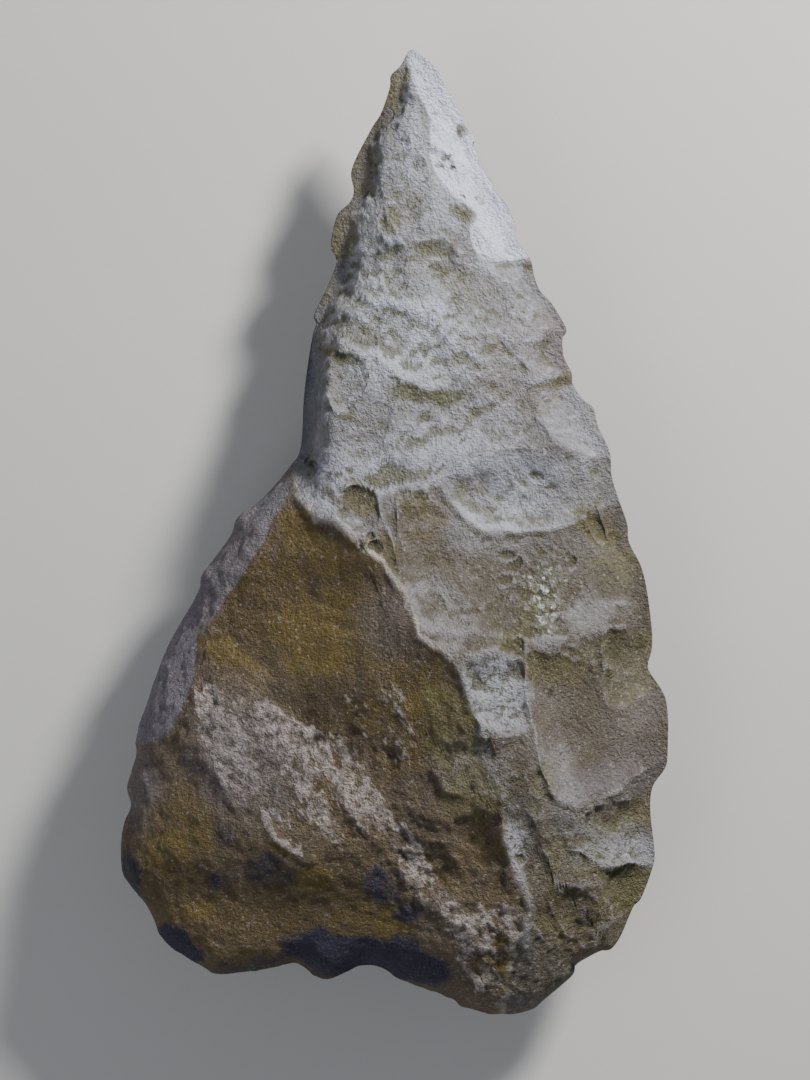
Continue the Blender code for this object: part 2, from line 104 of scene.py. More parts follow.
# Each stretch with the slope of the upper face by the edge, the radius of a rounded edge in metres, and how
# crisply that bevel ends on the face
STRETCHES = (
    (BLADE_RIGHT, 0.74, 0.0, 6.0),
    (BUTT_RIGHT, 0.95, 0.0003, 5.0),
    (BUTT_END, 0.45, 0.0130, 3.0),
    (CORTEX_LEFT, 0.40, 0.0105, 3.4),
    (NECK_LEFT, 3.0, 0.0, 9.0),
    (BLADE_LEFT, 0.85, 0.0, 6.0),
)
EDGE_BLEND = 22
# Round how many places the distance to the edge is also taken, and how far away they are as a share of it
EDGE_LOOKS = 7
EDGE_LOOK_SHARE = 0.6
RIGHT_EDGE_BLEND = 40
# The middle of the blade and the butt, as (y, x): the faces are drawn out from this line to the edge
SPINE = ((160, 413), (300, 434), (420, 446), (560, 428), (700, 402))
TIP_Y = 50
ROUND_EDGE = 0.005
RIM_BUNCHING = 0.8
# How much of the edge's length is evened out in the middle of the faces, over how many samples, and how near
# the edge its notches begin
EVENED_SHARE = 0.035
EVENED_SAMPLES = 31
NOTCH_REACH = 9

# Cross-sections of the upper face: y, shoulder x and height, trough x and height, crest x and height, height
# at the right edge, and the fall to the left of the shoulder in 100 units
SECTIONS = (
    (40, 330, 0.02, 370, 0.02, 411, 0.02, 0.00, 0.00),
    (105, 325, 0.14, 365, 0.14, 405, 0.14, 0.03, 0.00),
    (165, 300, 0.21, 340, 0.21, 380, 0.21, 0.05, 0.00),
    (225, 280, 0.27, 320, 0.27, 362, 0.28, 0.08, 0.00),
    (270, 280, 0.32, 315, 0.32, 357, 0.33, 0.10, 0.00),
    (310, 262, 0.37, 302, 0.37, 343, 0.38, 0.12, 0.00),
    (360, 250, 0.42, 290, 0.43, 330, 0.44, 0.14, 0.00),
    (410, 240, 0.47, 285, 0.48, 326, 0.49, 0.16, 0.00),
    (468, 240, 0.43, 270, 0.46, 303, 0.55, 0.18, 0.05),
    (490, 238, 0.42, 262, 0.44, 306, 0.59, 0.20, 0.08),
    (525, 240, 0.43, 275, 0.46, 343, 0.68, 0.20, 0.10),
    (555, 232, 0.45, 270, 0.49, 366, 0.75, 0.20, 0.12),
    (590, 222, 0.47, 265, 0.51, 400, 0.84, 0.22, 0.14),
    (632, 208, 0.52, 262, 0.52, 417, 0.92, 0.22, 0.16),
    (662, 200, 0.56, 262, 0.53, 455, 0.96, 0.24, 0.18),
    (716, 198, 0.60, 300, 0.55, 478, 1.00, 0.25, 0.20),
    (760, 215, 0.61, 350, 0.59, 490, 0.94, 0.25, 0.20),
    (808, 240, 0.60, 400, 0.64, 502, 0.84, 0.24, 0.18),
    (860, 290, 0.58, 440, 0.64, 510, 0.75, 0.22, 0.14),
    (905, 380, 0.55, 470, 0.62, 527, 0.69, 0.18, 0.09),
    (940, 420, 0.54, 475, 0.60, 522, 0.64, 0.15, 0.05),
    (990, 440, 0.46, 475, 0.52, 512, 0.55, 0.12, 0.03),
    (1030, 440, 0.34, 475, 0.39, 512, 0.44, 0.08, 0.02),
)
RIGHT_BULGE = 1.15
LEFT_HOLLOW = 1.15
SHOULDER_HOLLOW = 2
# How far past the right edge the slope goes on, as a share of its width
PAST_RIGHT_EDGE = 1.2

# Flake scars of the upper face: deepest point, depth, and the corners of the scar's border
UPPER_SCARS = {
    "tip_facet": ((490, 200), 0.0009, (
        (408, 46), (424, 100), (430, 168), (470, 214), (476, 266), (512, 296), (575, 312), (560, 230),
        (470, 60),
    )),
    "tip_left": ((397, 90), 0.0006, (
        (404, 56), (409, 66), (408, 84), (402, 108), (392, 114), (374, 112), (380, 76),
    )),
    "left_first": ((360, 172), 0.0008, (
        (370, 142), (380, 150), (380, 178), (373, 203), (350, 206), (336, 186), (340, 158),
    )),
    "left_second": ((343, 236), 0.0008, (
        (348, 214), (361, 224), (360, 248), (350, 258), (328, 260), (316, 240), (326, 216),
    )),
    "left_third": ((342, 270), 0.0007, (
        (346, 255), (358, 264), (356, 284), (340, 288), (318, 284), (324, 262),
    )),
    "left_fourth": ((326, 304), 0.0006, (
        (334, 285), (350, 291), (342, 318), (322, 326), (302, 312), (312, 288),
    )),
    "tip_long": ((405, 190), 0.0006, (
        (403, 100), (424, 100), (430, 168), (458, 212), (436, 236), (414, 244), (385, 215), (380, 178),
        (380, 150),
    )),
    "neck_flute": ((385, 270), 0.0007, (
        (362, 225), (412, 246), (414, 272), (404, 302), (352, 304), (357, 284), (352, 262),
    )),
    "plateau_left": ((358, 436), 0.0008, (
        (385, 370), (402, 374), (394, 430), (384, 462), (350, 478), (306, 464), (322, 425), (352, 392),
    )),
    "pale_facet": ((388, 478), 0.0007, (
        (352, 480), (384, 462), (400, 450), (436, 472), (397, 486), (378, 490),
    )),
    "crest_sliver": ((393, 542), 0.0006, (
        (382, 505), (397, 486), (404, 560), (408, 600), (394, 578), (376, 545),
    )),
    "neck_upper": ((398, 335), 0.0008, (
        (334, 318), (337, 338), (354, 351), (402, 374), (438, 392), (470, 372), (462, 338), (410, 308),
        (352, 304),
    )),
    "neck_lower": ((345, 376), 0.0009, (
        (330, 352), (360, 356), (367, 372), (362, 396), (346, 417), (331, 414), (322, 392),
    )),
    "plateau": ((466, 424), 0.0009, (
        (388, 380), (470, 372), (540, 385), (534, 446), (500, 448), (436, 472), (392, 480), (372, 440),
    )),
    "blade_shadow": ((466, 286), 0.0007, (
        (428, 258), (472, 262), (520, 290), (560, 322), (520, 334), (470, 337), (438, 316),
    )),
    "blade_hollow": ((432, 250), 0.0005, (
        (414, 246), (436, 237), (456, 250), (458, 272), (432, 286), (412, 270),
    )),
    "edge_notch": ((556, 350), 0.0007, (
        (520, 340), (546, 334), (590, 328), (590, 372), (548, 378), (522, 366),
    )),
    "edge_second": ((574, 402), 0.0012, (
        (536, 406), (546, 382), (590, 366), (640, 400), (640, 462), (598, 464), (570, 457), (550, 442),
    )),
    "edge_third": ((500, 504), 0.0017, (
        (436, 473), (446, 502), (466, 525), (487, 535), (532, 532), (584, 521), (650, 500), (650, 462),
        (560, 450), (500, 448),
    )),
    "great_middle": ((440, 592), 0.0021, (
        (397, 485), (436, 472), (500, 447), (560, 450), (670, 470), (680, 600), (600, 650), (560, 644),
        (500, 652), (466, 658), (430, 642), (404, 598), (396, 560),
    )),
    "notch_bowl": ((360, 500), 0.001, (
        (337, 490), (350, 485), (364, 483), (378, 490), (382, 504), (380, 524), (364, 538), (348, 528),
        (337, 510),
    )),
    "oval": ((593, 525), 0.0009, ((583, 508), (592, 504), (602, 528), (605, 546), (593, 542), (585, 526))),
    "oval_edge": ((620, 540), 0.0007, ((608, 532), (622, 528), (650, 545), (640, 566), (614, 550))),
    "pit_bowl": ((513, 640), 0.0006, (
        (502, 634), (512, 628), (522, 634), (523, 650), (512, 656), (503, 650),
    )),
    "rough_facet": ((494, 694), 0.0013, (
        (458, 660), (494, 650), (523, 659), (531, 727), (500, 729), (478, 719), (464, 696),
    )),
    "great_lower": ((574, 742), 0.0026, (
        (523, 642), (558, 639), (592, 651), (700, 690), (700, 756), (612, 797), (586, 804), (556, 793),
        (540, 772), (530, 730),
    )),
    "edge_fourth": ((628, 664), 0.0013, (
        (604, 628), (626, 622), (650, 626), (690, 650), (680, 692), (640, 702), (611, 717), (603, 690),
    )),
    "edge_fifth": ((626, 818), 0.0014, (
        (558, 806), (612, 797), (652, 777), (700, 770), (700, 850), (640, 863), (598, 860), (562, 832),
    )),
    "edge_sixth": ((626, 880), 0.0014, (
        (598, 862), (642, 864), (690, 866), (670, 910), (622, 916), (603, 897),
    )),
    "butt_hollow": ((562, 897), 0.0012, (
        (546, 884), (562, 877), (586, 882), (603, 905), (600, 935), (572, 948), (546, 940), (530, 914),
    )),
    "cortex_break": ((484, 830), 0.0005, (
        (478, 802), (501, 807), (507, 850), (516, 880), (500, 896), (470, 891), (445, 870), (440, 830),
        (456, 808),
    )),
    "crest_hollow": ((488, 752), 0.0008, (
        (430, 744), (468, 731), (522, 730), (530, 762), (505, 792), (470, 792), (446, 786),
    )),
    "crest_strip": ((534, 852), 0.0006, (
        (505, 812), (524, 800), (546, 846), (552, 888), (538, 907), (520, 882),
    )),
}
# All these depths are taken so many times, and how crisply a scar's border turns at its corners
SCAR_DEPTH = 1.7
BORDER_CRISPNESS = 9.0
# How far the borders of the scars wander, and the lengths of that wandering, in units of the drawing
BORDER_WANDER = 5.0
WANDER_SPAN = 38
WANDER_FINE_SPAN = 15
# The lumps of the cobble's crust, in units of the drawing
LUMP_SPAN = 60
LUMP_FINE_SPAN = 27
# How much of the stone's thickness above the edge a flake may take
MOST_CUT = 0.75
CUT_CRISPNESS = 4.0

# Small flakes struck off along the knapped edge to sharpen it: how many go round, and their size in metres
RETOUCH = 74
RETOUCH_REACH = 0.0062
RETOUCH_WIDTH = 0.0042
RETOUCH_DEPTH = 0.0008

# The underside, which the drawing doesn't show: a lower dome with large flake scars, cut flat where it rests
UNDER_CROWN = (425, 680)
UNDER_REACH_ACROSS = 370
UNDER_REACH_TO_TIP = 710
UNDER_REACH_TO_BUTT = 480
UNDER_BULGE = 1.28
UNDER_BEVEL = 0.80
UNDER_CRISPNESS = 3.0
LEAST_DOME = 0.02
UNDER_FLAKES = 13
UNDER_FLAKE_REACH = 0.036
UNDER_FLAKE_WIDTH = 0.019
UNDER_FLAKE_DEPTH = 0.0030
# How far apart the noise is read for one flake and the next, and for one trait of a flake and the next
FLAKE_STEP = 1.37
TRAIT_STEP = 5.1
# How far along the edge, as a share of it, its direction is taken for a flake
FLAKE_AHEAD = 0.004

# Smaller scars that only this surface shows: deepest point, depth, and the corners of the border
FINE_SCARS = (
    ((440, 160), 0.0005, ((424, 132), (440, 150), (462, 160), (468, 196), (440, 190), (426, 168))),
    ((398, 128), 0.0004, ((390, 112), (404, 104), (412, 130), (404, 152), (386, 146))),
    ((505, 268), 0.0006, ((484, 262), (506, 256), (540, 262), (544, 280), (520, 288), (498, 284))),
    ((490, 316), 0.0004, ((474, 300), (500, 300), (540, 328), (530, 340), (500, 334), (478, 322))),
    ((548, 352), 0.0006, ((530, 346), (546, 338), (580, 334), (584, 362), (560, 370), (536, 366))),
    ((352, 332), 0.0009, (
        (332, 320), (350, 316), (374, 330), (384, 352), (366, 360), (346, 352), (333, 338),
    )),
    ((420, 356), 0.0005, (
        (372, 352), (396, 340), (440, 344), (452, 372), (428, 388), (404, 380), (384, 366),
    )),
    ((505, 352), 0.0006, ((478, 344), (500, 340), (532, 372), (540, 400), (520, 420), (496, 384))),
    ((470, 500), 0.0004, ((446, 480), (480, 476), (508, 500), (500, 526), (472, 520), (452, 500))),
    ((610, 590), 0.0006, ((584, 566), (618, 556), (660, 580), (660, 606), (622, 604), (592, 598))),
    ((430, 600), 0.0006, (
        (408, 574), (426, 570), (458, 612), (476, 646), (460, 654), (430, 636), (414, 606),
    )),
    ((640, 630), 0.0008, ((622, 616), (640, 606), (670, 612), (672, 640), (650, 648), (630, 642))),
    ((606, 672), 0.0006, ((592, 650), (602, 644), (612, 668), (610, 704), (600, 700), (594, 672))),
    ((570, 740), 0.0005, ((544, 716), (580, 706), (618, 726), (622, 760), (590, 790), (560, 776))),
    ((440, 868), 0.0008, ((412, 836), (438, 832), (462, 860), (470, 892), (446, 902), (420, 880))),
    ((500, 960), 0.0009, ((470, 934), (504, 926), (532, 950), (528, 986), (498, 996), (470, 974))),
    ((590, 930), 0.0007, ((566, 912), (596, 904), (622, 924), (612, 950), (584, 956), (566, 940))),
)
# Rows of finer retouch: how many flakes go round, their reach, width and depth in metres, and a seed
FINE_RETOUCH = ((118, 0.0034, 0.0023, 0.0005, 6.1), (61, 0.006, 0.0034, 0.0006, 11.7))
# The blade's left side lies left of this x and above this y. The finer retouch there is only this share of
# what it is elsewhere, and the patina is painted darker there as painted shade, up to so many metres from
# the edge and down to this share at most
LEFT_BLADE = (395, 460)
LEFT_RETOUCH = 0.3
RIM_SHADE_REACH = 0.0034
DARKEST_RIM_SHADE = 0.05
# How much of the solid's height above the edge the finest scars may take
MOST_FINE_CUT = 0.6
# Pits: x, y, radius across and along, depth in metres. What their floor is over 1 makes it flat
PIT_FLOOR = 1.2
PITS = (
    (446, 158, 5, 4, 0.0005), (440, 166, 4, 3, 0.0004), (452, 168, 3, 3, 0.0004), (484, 191, 4, 4, 0.0006),
    (478, 197, 2, 2, 0.0004), (462, 197, 3, 2, 0.0004), (463, 205, 3, 2, 0.0003), (507, 553, 9, 4, 0.0007),
    (512, 566, 7, 5, 0.0007), (503, 577, 8, 4, 0.0006), (519, 560, 4, 6, 0.0005), (571, 562, 5, 6, 0.0008),
    (566, 556, 3, 3, 0.0005), (540, 480, 9, 4, 0.0003), (552, 487, 6, 4, 0.0003), (534, 476, 5, 3, 0.0003),
    (548, 692, 3, 5, 0.0006), (340, 475, 5, 4, 0.0006), (350, 470, 4, 3, 0.0005), (376, 548, 8, 7, 0.001),
    (371, 536, 5, 4, 0.0008), (519, 852, 5, 4, 0.0008), (528, 862, 4, 4, 0.0006),
)
# Ridges and steps between the scars: their rise in units of their own, how far they reach to the left and
# to the right of the line's way, and the line
RIDGES = (
    (4, 8, 8, ((411, 52), (414, 68), (411, 84), (405, 98), (402, 114), (396, 128))),
    (3, 5, 5, ((372, 232), (376, 223), (387, 243), (394, 248), (407, 234))),
    (4, 7, 4, ((356, 226), (359, 247), (361, 263), (358, 283), (352, 297), (343, 310), (338, 324))),
    (4, 4, 10, ((430, 238), (440, 235), (450, 243), (457, 252), (470, 258))),
    (2, 4, 8, ((446, 270), (460, 265), (477, 268), (492, 277))),
    (5, 14, 5, (
        (370, 280), (382, 300), (395, 307), (407, 309), (423, 323), (438, 331), (457, 350), (474, 357),
        (494, 374),
    )),
    (4, 12, 4, ((331, 326), (340, 343), (353, 351), (372, 354))),
    (4, 12, 4, ((327, 388), (332, 408), (339, 417), (350, 412), (358, 403))),
    (5, 10, 4, ((384, 366), (395, 376), (406, 383), (420, 388), (432, 391), (448, 388), (457, 393))),
    (3, 6, 10, ((448, 385), (470, 380), (485, 395), (497, 401), (512, 420))),
    (4, 4, 5, ((498, 260), (515, 259), (533, 260))),
    (3, 12, 6, ((500, 286), (523, 313), (543, 327), (567, 332))),
    (5, 14, 6, ((532, 404), (541, 424), (550, 436), (562, 447), (574, 456))),
    (3, 8, 4, ((518, 387), (540, 381), (555, 377), (573, 374))),
    (2, 5, 8, ((545, 390), (560, 405), (572, 424))),
    (5, 12, 4, (
        (434, 478), (446, 495), (455, 509), (467, 521), (480, 530), (497, 534), (520, 532), (550, 528),
        (582, 520),
    )),
    (2, 9, 4, ((432, 472), (445, 474), (460, 468), (480, 459), (500, 450), (520, 446), (562, 446))),
    (4, 4, 9, ((397, 483), (397, 500), (397, 530), (398, 556), (401, 572))),
    (5, 4, 4, ((380, 486), (381, 505), (385, 520), (391, 535), (396, 552), (401, 580))),
    (4, 6, 4, ((343, 490), (352, 486), (366, 485), (376, 491), (380, 502))),
    (6, 8, 4, ((395, 485), (410, 488), (421, 489), (434, 497))),
    (3, 5, 5, ((420, 500), (435, 503), (447, 512), (457, 523))),
    (4, 6, 4, ((583, 506), (585, 520), (592, 534), (601, 543), (612, 546))),
    (3, 5, 5, ((505, 463), (512, 480), (522, 490), (533, 498))),
    (7, 9, 7, ((293, 477), (300, 495), (312, 514), (325, 521), (338, 520), (350, 532), (364, 544))),
    (7, 8, 6, (
        (362, 542), (380, 560), (392, 574), (402, 586), (412, 600), (416, 614), (420, 634), (432, 641),
    )),
    (6, 8, 6, (
        (418, 632), (436, 641), (450, 650), (458, 664), (464, 682), (468, 704), (478, 717), (492, 726),
    )),
    (5, 8, 4, ((462, 660), (480, 652), (497, 650), (506, 656), (514, 662))),
    (4, 6, 6, ((521, 604), (523, 640), (524, 664), (529, 695), (531, 727))),
    (6, 14, 4, (
        (530, 720), (536, 745), (540, 765), (548, 783), (557, 795), (575, 803), (590, 803), (604, 799),
    )),
    (5, 12, 4, ((522, 650), (540, 643), (560, 641), (575, 645), (590, 655))),
    (4, 4, 6, ((588, 652), (595, 668), (601, 688), (606, 703), (610, 717))),
    (5, 4, 5, ((601, 640), (603, 660), (602, 688), (607, 706))),
    (4, 5, 5, ((603, 612), (604, 640), (606, 660), (603, 684))),
    (4, 8, 4, ((606, 630), (614, 627), (624, 628), (628, 634), (650, 634))),
    (7, 16, 4, ((598, 801), (615, 790), (630, 779), (645, 771), (664, 762))),
    (4, 10, 4, ((562, 838), (575, 846), (590, 852), (600, 862), (620, 865), (640, 862), (654, 866))),
    (3, 4, 5, ((536, 806), (541, 820), (548, 832), (556, 845))),
    (6, 8, 4, ((470, 800), (484, 804), (498, 806), (502, 822))),
    (6, 7, 5, ((500, 806), (503, 825), (507, 842), (513, 860), (524, 884), (529, 905), (522, 930))),
    (5, 9, 4, ((430, 752), (436, 770), (443, 783), (454, 788), (468, 786))),
    (5, 8, 7, ((194, 682), (196, 718), (203, 744), (213, 765), (226, 780), (242, 803))),
    (3, 8, 10, ((288, 486), (264, 520), (250, 542), (232, 570), (214, 620), (208, 660))),
    (4, 10, 6, ((258, 812), (276, 828), (296, 850), (322, 862))),
    (4, 12, 5, ((332, 780), (350, 800), (372, 832), (396, 858), (420, 890), (446, 912))),
    (5, 10, 4, ((546, 884), (552, 908), (566, 930), (584, 944), (606, 948))),
    (4, 10, 4, ((476, 930), (486, 956), (506, 976), (530, 990), (552, 992))),
    (3, 8, 4, ((600, 896), (616, 902), (634, 902))),
)
# A ridge's unit of rise in metres, and how broadly its top is rounded in units of the drawing
RIDGE_UNIT = 0.0001
RIDGE_ROUND = 1.6
# How far in from the edge, in metres, the ridges rise to their height
RIDGE_START = 0.0015
# The border from the cobble's crust to the flaked face, and cracks where the crust has scaled
CREST = (
    (288, 462), (294, 480), (302, 500), (318, 519), (336, 522), (352, 534), (364, 546), (384, 558),
    (395, 575), (405, 592), (414, 612), (418, 634), (440, 644), (455, 662), (466, 700), (478, 718),
    (430, 744), (446, 784), (484, 784), (500, 800), (506, 840), (512, 866), (524, 886), (528, 905),
    (514, 938), (500, 1030),
)
CRACKS = (
    ((212, 640), (232, 632), (245, 645), (262, 660), (280, 668), (300, 672)),
    ((306, 590), (318, 596), (330, 602), (345, 608)), ((322, 618), (340, 625), (362, 631), (378, 628)),
    ((240, 600), (262, 612), (286, 614)),
)

# Areas of the crust where pale, rough streaks stand on the smooth brown: a point inside, how much they cover
# there, and the corners of the border
ROUGH_AREAS = (
    ((228, 738), 0.72, (
        (194, 668), (214, 662), (236, 690), (258, 730), (270, 770), (262, 800), (241, 804), (220, 780),
        (204, 748), (194, 712),
    )),
    ((310, 765), 0.56, (
        (214, 662), (262, 682), (304, 704), (350, 722), (384, 748), (400, 800), (386, 836), (352, 862),
        (322, 850), (292, 816), (258, 780), (236, 720),
    )),
    ((282, 826), 0.62, ((256, 800), (276, 796), (300, 830), (316, 864), (292, 852), (266, 826))),
    ((410, 850), 0.66, (
        (366, 780), (384, 784), (416, 830), (450, 880), (470, 914), (462, 950), (440, 930), (408, 890),
        (382, 850), (368, 820),
    )),
    ((505, 950), 0.72, (
        (450, 910), (500, 884), (540, 900), (580, 930), (590, 960), (545, 1020), (480, 1010), (448, 960),
    )),
    ((385, 730), 0.22, ((330, 670), (400, 670), (430, 730), (410, 780), (362, 750))),
)
# The way that the streaks run, in degrees below the drawing's x, how long they are for their width, and how
# far they swing the cover either way
STREAK_FALL = 54.0
STREAK_LENGTH = 2.6
STREAK_SWING = 0.26
# How fast the streaked areas come in from their borders, and the tints with a clear border from theirs
STREAK_CRISPNESS = 2.2
TINT_CRISPNESS = 8.0
# The relief of a streak, in metres: its own, and what the grain adds
STREAK_RISE = 0.00016
STREAK_GRAIN = 0.00030

# How the noise moves things aside: how far at most, in lumps of what span, and the noise's seed
SCAR_DRIFT = (3.5, 24, 31.5)
RIDGE_DRIFT = (2.2, 13, 81.5)
TINT_DRIFTS = ((9, 34, 41.5), (4, 11, 51.5))
CREST_DRIFT = (4, 14, 61.5)
# From the seed of the noise that moves a place aside to that of the noise that moves it up or down
SEED_STEP = 6

# The crust lies below this y, and its border by the crest is this soft. On the underside it begins at a y of
# its own
CRUST_TOP = 455
CRUST_SOFT = 9
UNDER_CRUST_TOP = 740
UNDER_CRUST_SOFT = 60
# Pale paint on the crest, partly wear and partly painted highlight, in two stretches that are split at a y:
# from which y it comes in, over how many units, and how much there is at most
RIM_SPLIT = 655
RIM_UPPER = (474, 14, 1)
RIM_LOWER = (800, 20, 0.6)
# How far the paint reaches from the crest, what it is over 1 on it, and how much of it the grain lets stand
RIM_REACH = 3.2
RIM_PLATEAU = 1.25
RIM_GRAIN = 0.75
# How deep a crack is, in metres, and how far it reaches to each side
CRACK_DEPTH = 0.0003
CRACK_REACH = 7
# Hummocks, grain and streaks: their size in metres, a seed and how many octaves of noise they have
HUMMOCKS = (0.0060, 3.1, 4)
GRAIN = (0.0022, 7.7, 3)
STREAKS = (0.0032, 5.5, 5)
# The rise of the hummocks and the grain, in metres: on the smoothest stone, and what the coarsest adds
HUMMOCK_RISE = (0.00008, 0.00045)
GRAIN_RISE = (0.00005, 0.00034)
# Shallow bowls of weathering: their span, their depth in metres and a seed
BOWLS = ((52, 0.00105, 3), (23, 0.00066, 5), (10, 0.00030, 9))
# How the rows of bowls are slanted: the share of y and of x in where a row lies
BOWL_ROWS = (0.8, 0.3)
# The height in a bowl that counts as the stone's own, how deep bowls are on the smoothest stone, and the share
# of them that the crust takes off
BOWL_LEVEL = 0.4
BOWLS_ON_SMOOTH = 0.22
BOWLS_OFF_CRUST = 0.8
# The mesh's corners that are this near the plane of the edge or the floor, in metres, lie in it
IN_PLANE = 1e-6
# Relief is at most this share of the stone's height or depth from the edge, and may rise this many metres
# more
MOST_RELIEF = 0.35
SPARE_RELIEF = 0.00005
# Small and broad hollows: how many rounds of smoothing they are measured against, and how deep a full one is
HOLLOWS = {"hollow": (3, 0.00013), "sunken": (40, 0.0008)}
# How far in from the edge, in metres, a hollow counts in full
EDGE_CALM = 0.0030
# The underside has the tints of the upper face as in a mirror, weaker: the sum of an x and its mirrored one
MIRRORED_X = 790
UNDER_TINT = 0.7
# How coarse the stone is where nothing says otherwise
USUAL_COARSENESS = 0.45
UNDER_COARSENESS = 0.5

# Tints with a clear border: the same kind of areas
TINT_AREAS = {
    "lilac": (
        ((242, 545), 0.85, (
            (262, 470), (296, 474), (288, 507), (264, 545), (242, 590), (222, 624), (190, 640), (170, 600),
            (210, 530),
        )),
        ((178, 685), 1.0, (
            (222, 618), (207, 652), (197, 680), (196, 718), (180, 734), (140, 748), (110, 744), (130, 680),
            (170, 600),
        )),
    ),
    "white": (
        ((440, 95), 1.1, ((406, 44), (411, 80), (434, 128), (478, 135), (464, 98), (438, 54))),
        ((462, 165), 1.05, (
            (430, 118), (427, 160), (434, 176), (472, 212), (508, 200), (488, 150), (470, 116),
        )),
        ((494, 232), 0.95, (
            (474, 206), (468, 228), (474, 253), (490, 262), (534, 259), (524, 215), (505, 190), (488, 194),
        )),
    ),
    # Partly the stone's olive tone, partly painted shade in the scars by the blade's left edge
    "olive_and_shade": (
        ((366, 172), 0.55, ((378, 150), (360, 146), (346, 172), (352, 200), (376, 198))),
        ((346, 236), 0.6, ((360, 220), (344, 214), (330, 236), (336, 258), (358, 256))),
    ),
}

# How coarse the grain is, as places: x, y, reach across and along, turn in degrees, and the value there, from
# 0 to 1
COARSE = (
    (470, 140, 45, 110, 20, 0.04), (500, 235, 40, 60, 25, 0.1), (398, 190, 34, 110, 0, 0.75),
    (400, 350, 80, 70, 30, 0.7), (470, 430, 90, 50, 0, 0.5), (550, 400, 60, 60, 0, 0.35),
    (350, 440, 60, 50, 0, 0.55), (440, 540, 60, 70, 35, 0.22), (520, 495, 70, 40, 0, 0.22),
    (590, 560, 60, 60, 0, 0.25), (542, 605, 30, 46, 0, 1.0), (494, 690, 42, 40, 0, 1.0),
    (590, 720, 70, 66, 0, 0.12), (630, 660, 30, 50, 0, 0.25), (610, 840, 60, 40, 0, 0.85),
    (500, 800, 40, 50, 0, 0.8), (505, 910, 50, 60, 0, 1.0), (580, 930, 50, 50, 0, 0.75),
    (330, 590, 100, 70, 0, 0.3), (215, 600, 60, 110, 30, 0.75), (230, 730, 50, 80, -25, 1.0),
    (300, 800, 80, 60, -35, 1.0), (400, 830, 60, 100, -35, 1.0), (440, 740, 50, 60, 0, 0.55),
    (250, 890, 90, 60, 0, 0.45), (170, 830, 50, 90, 0, 0.55), (360, 950, 70, 40, 0, 0.35),
)
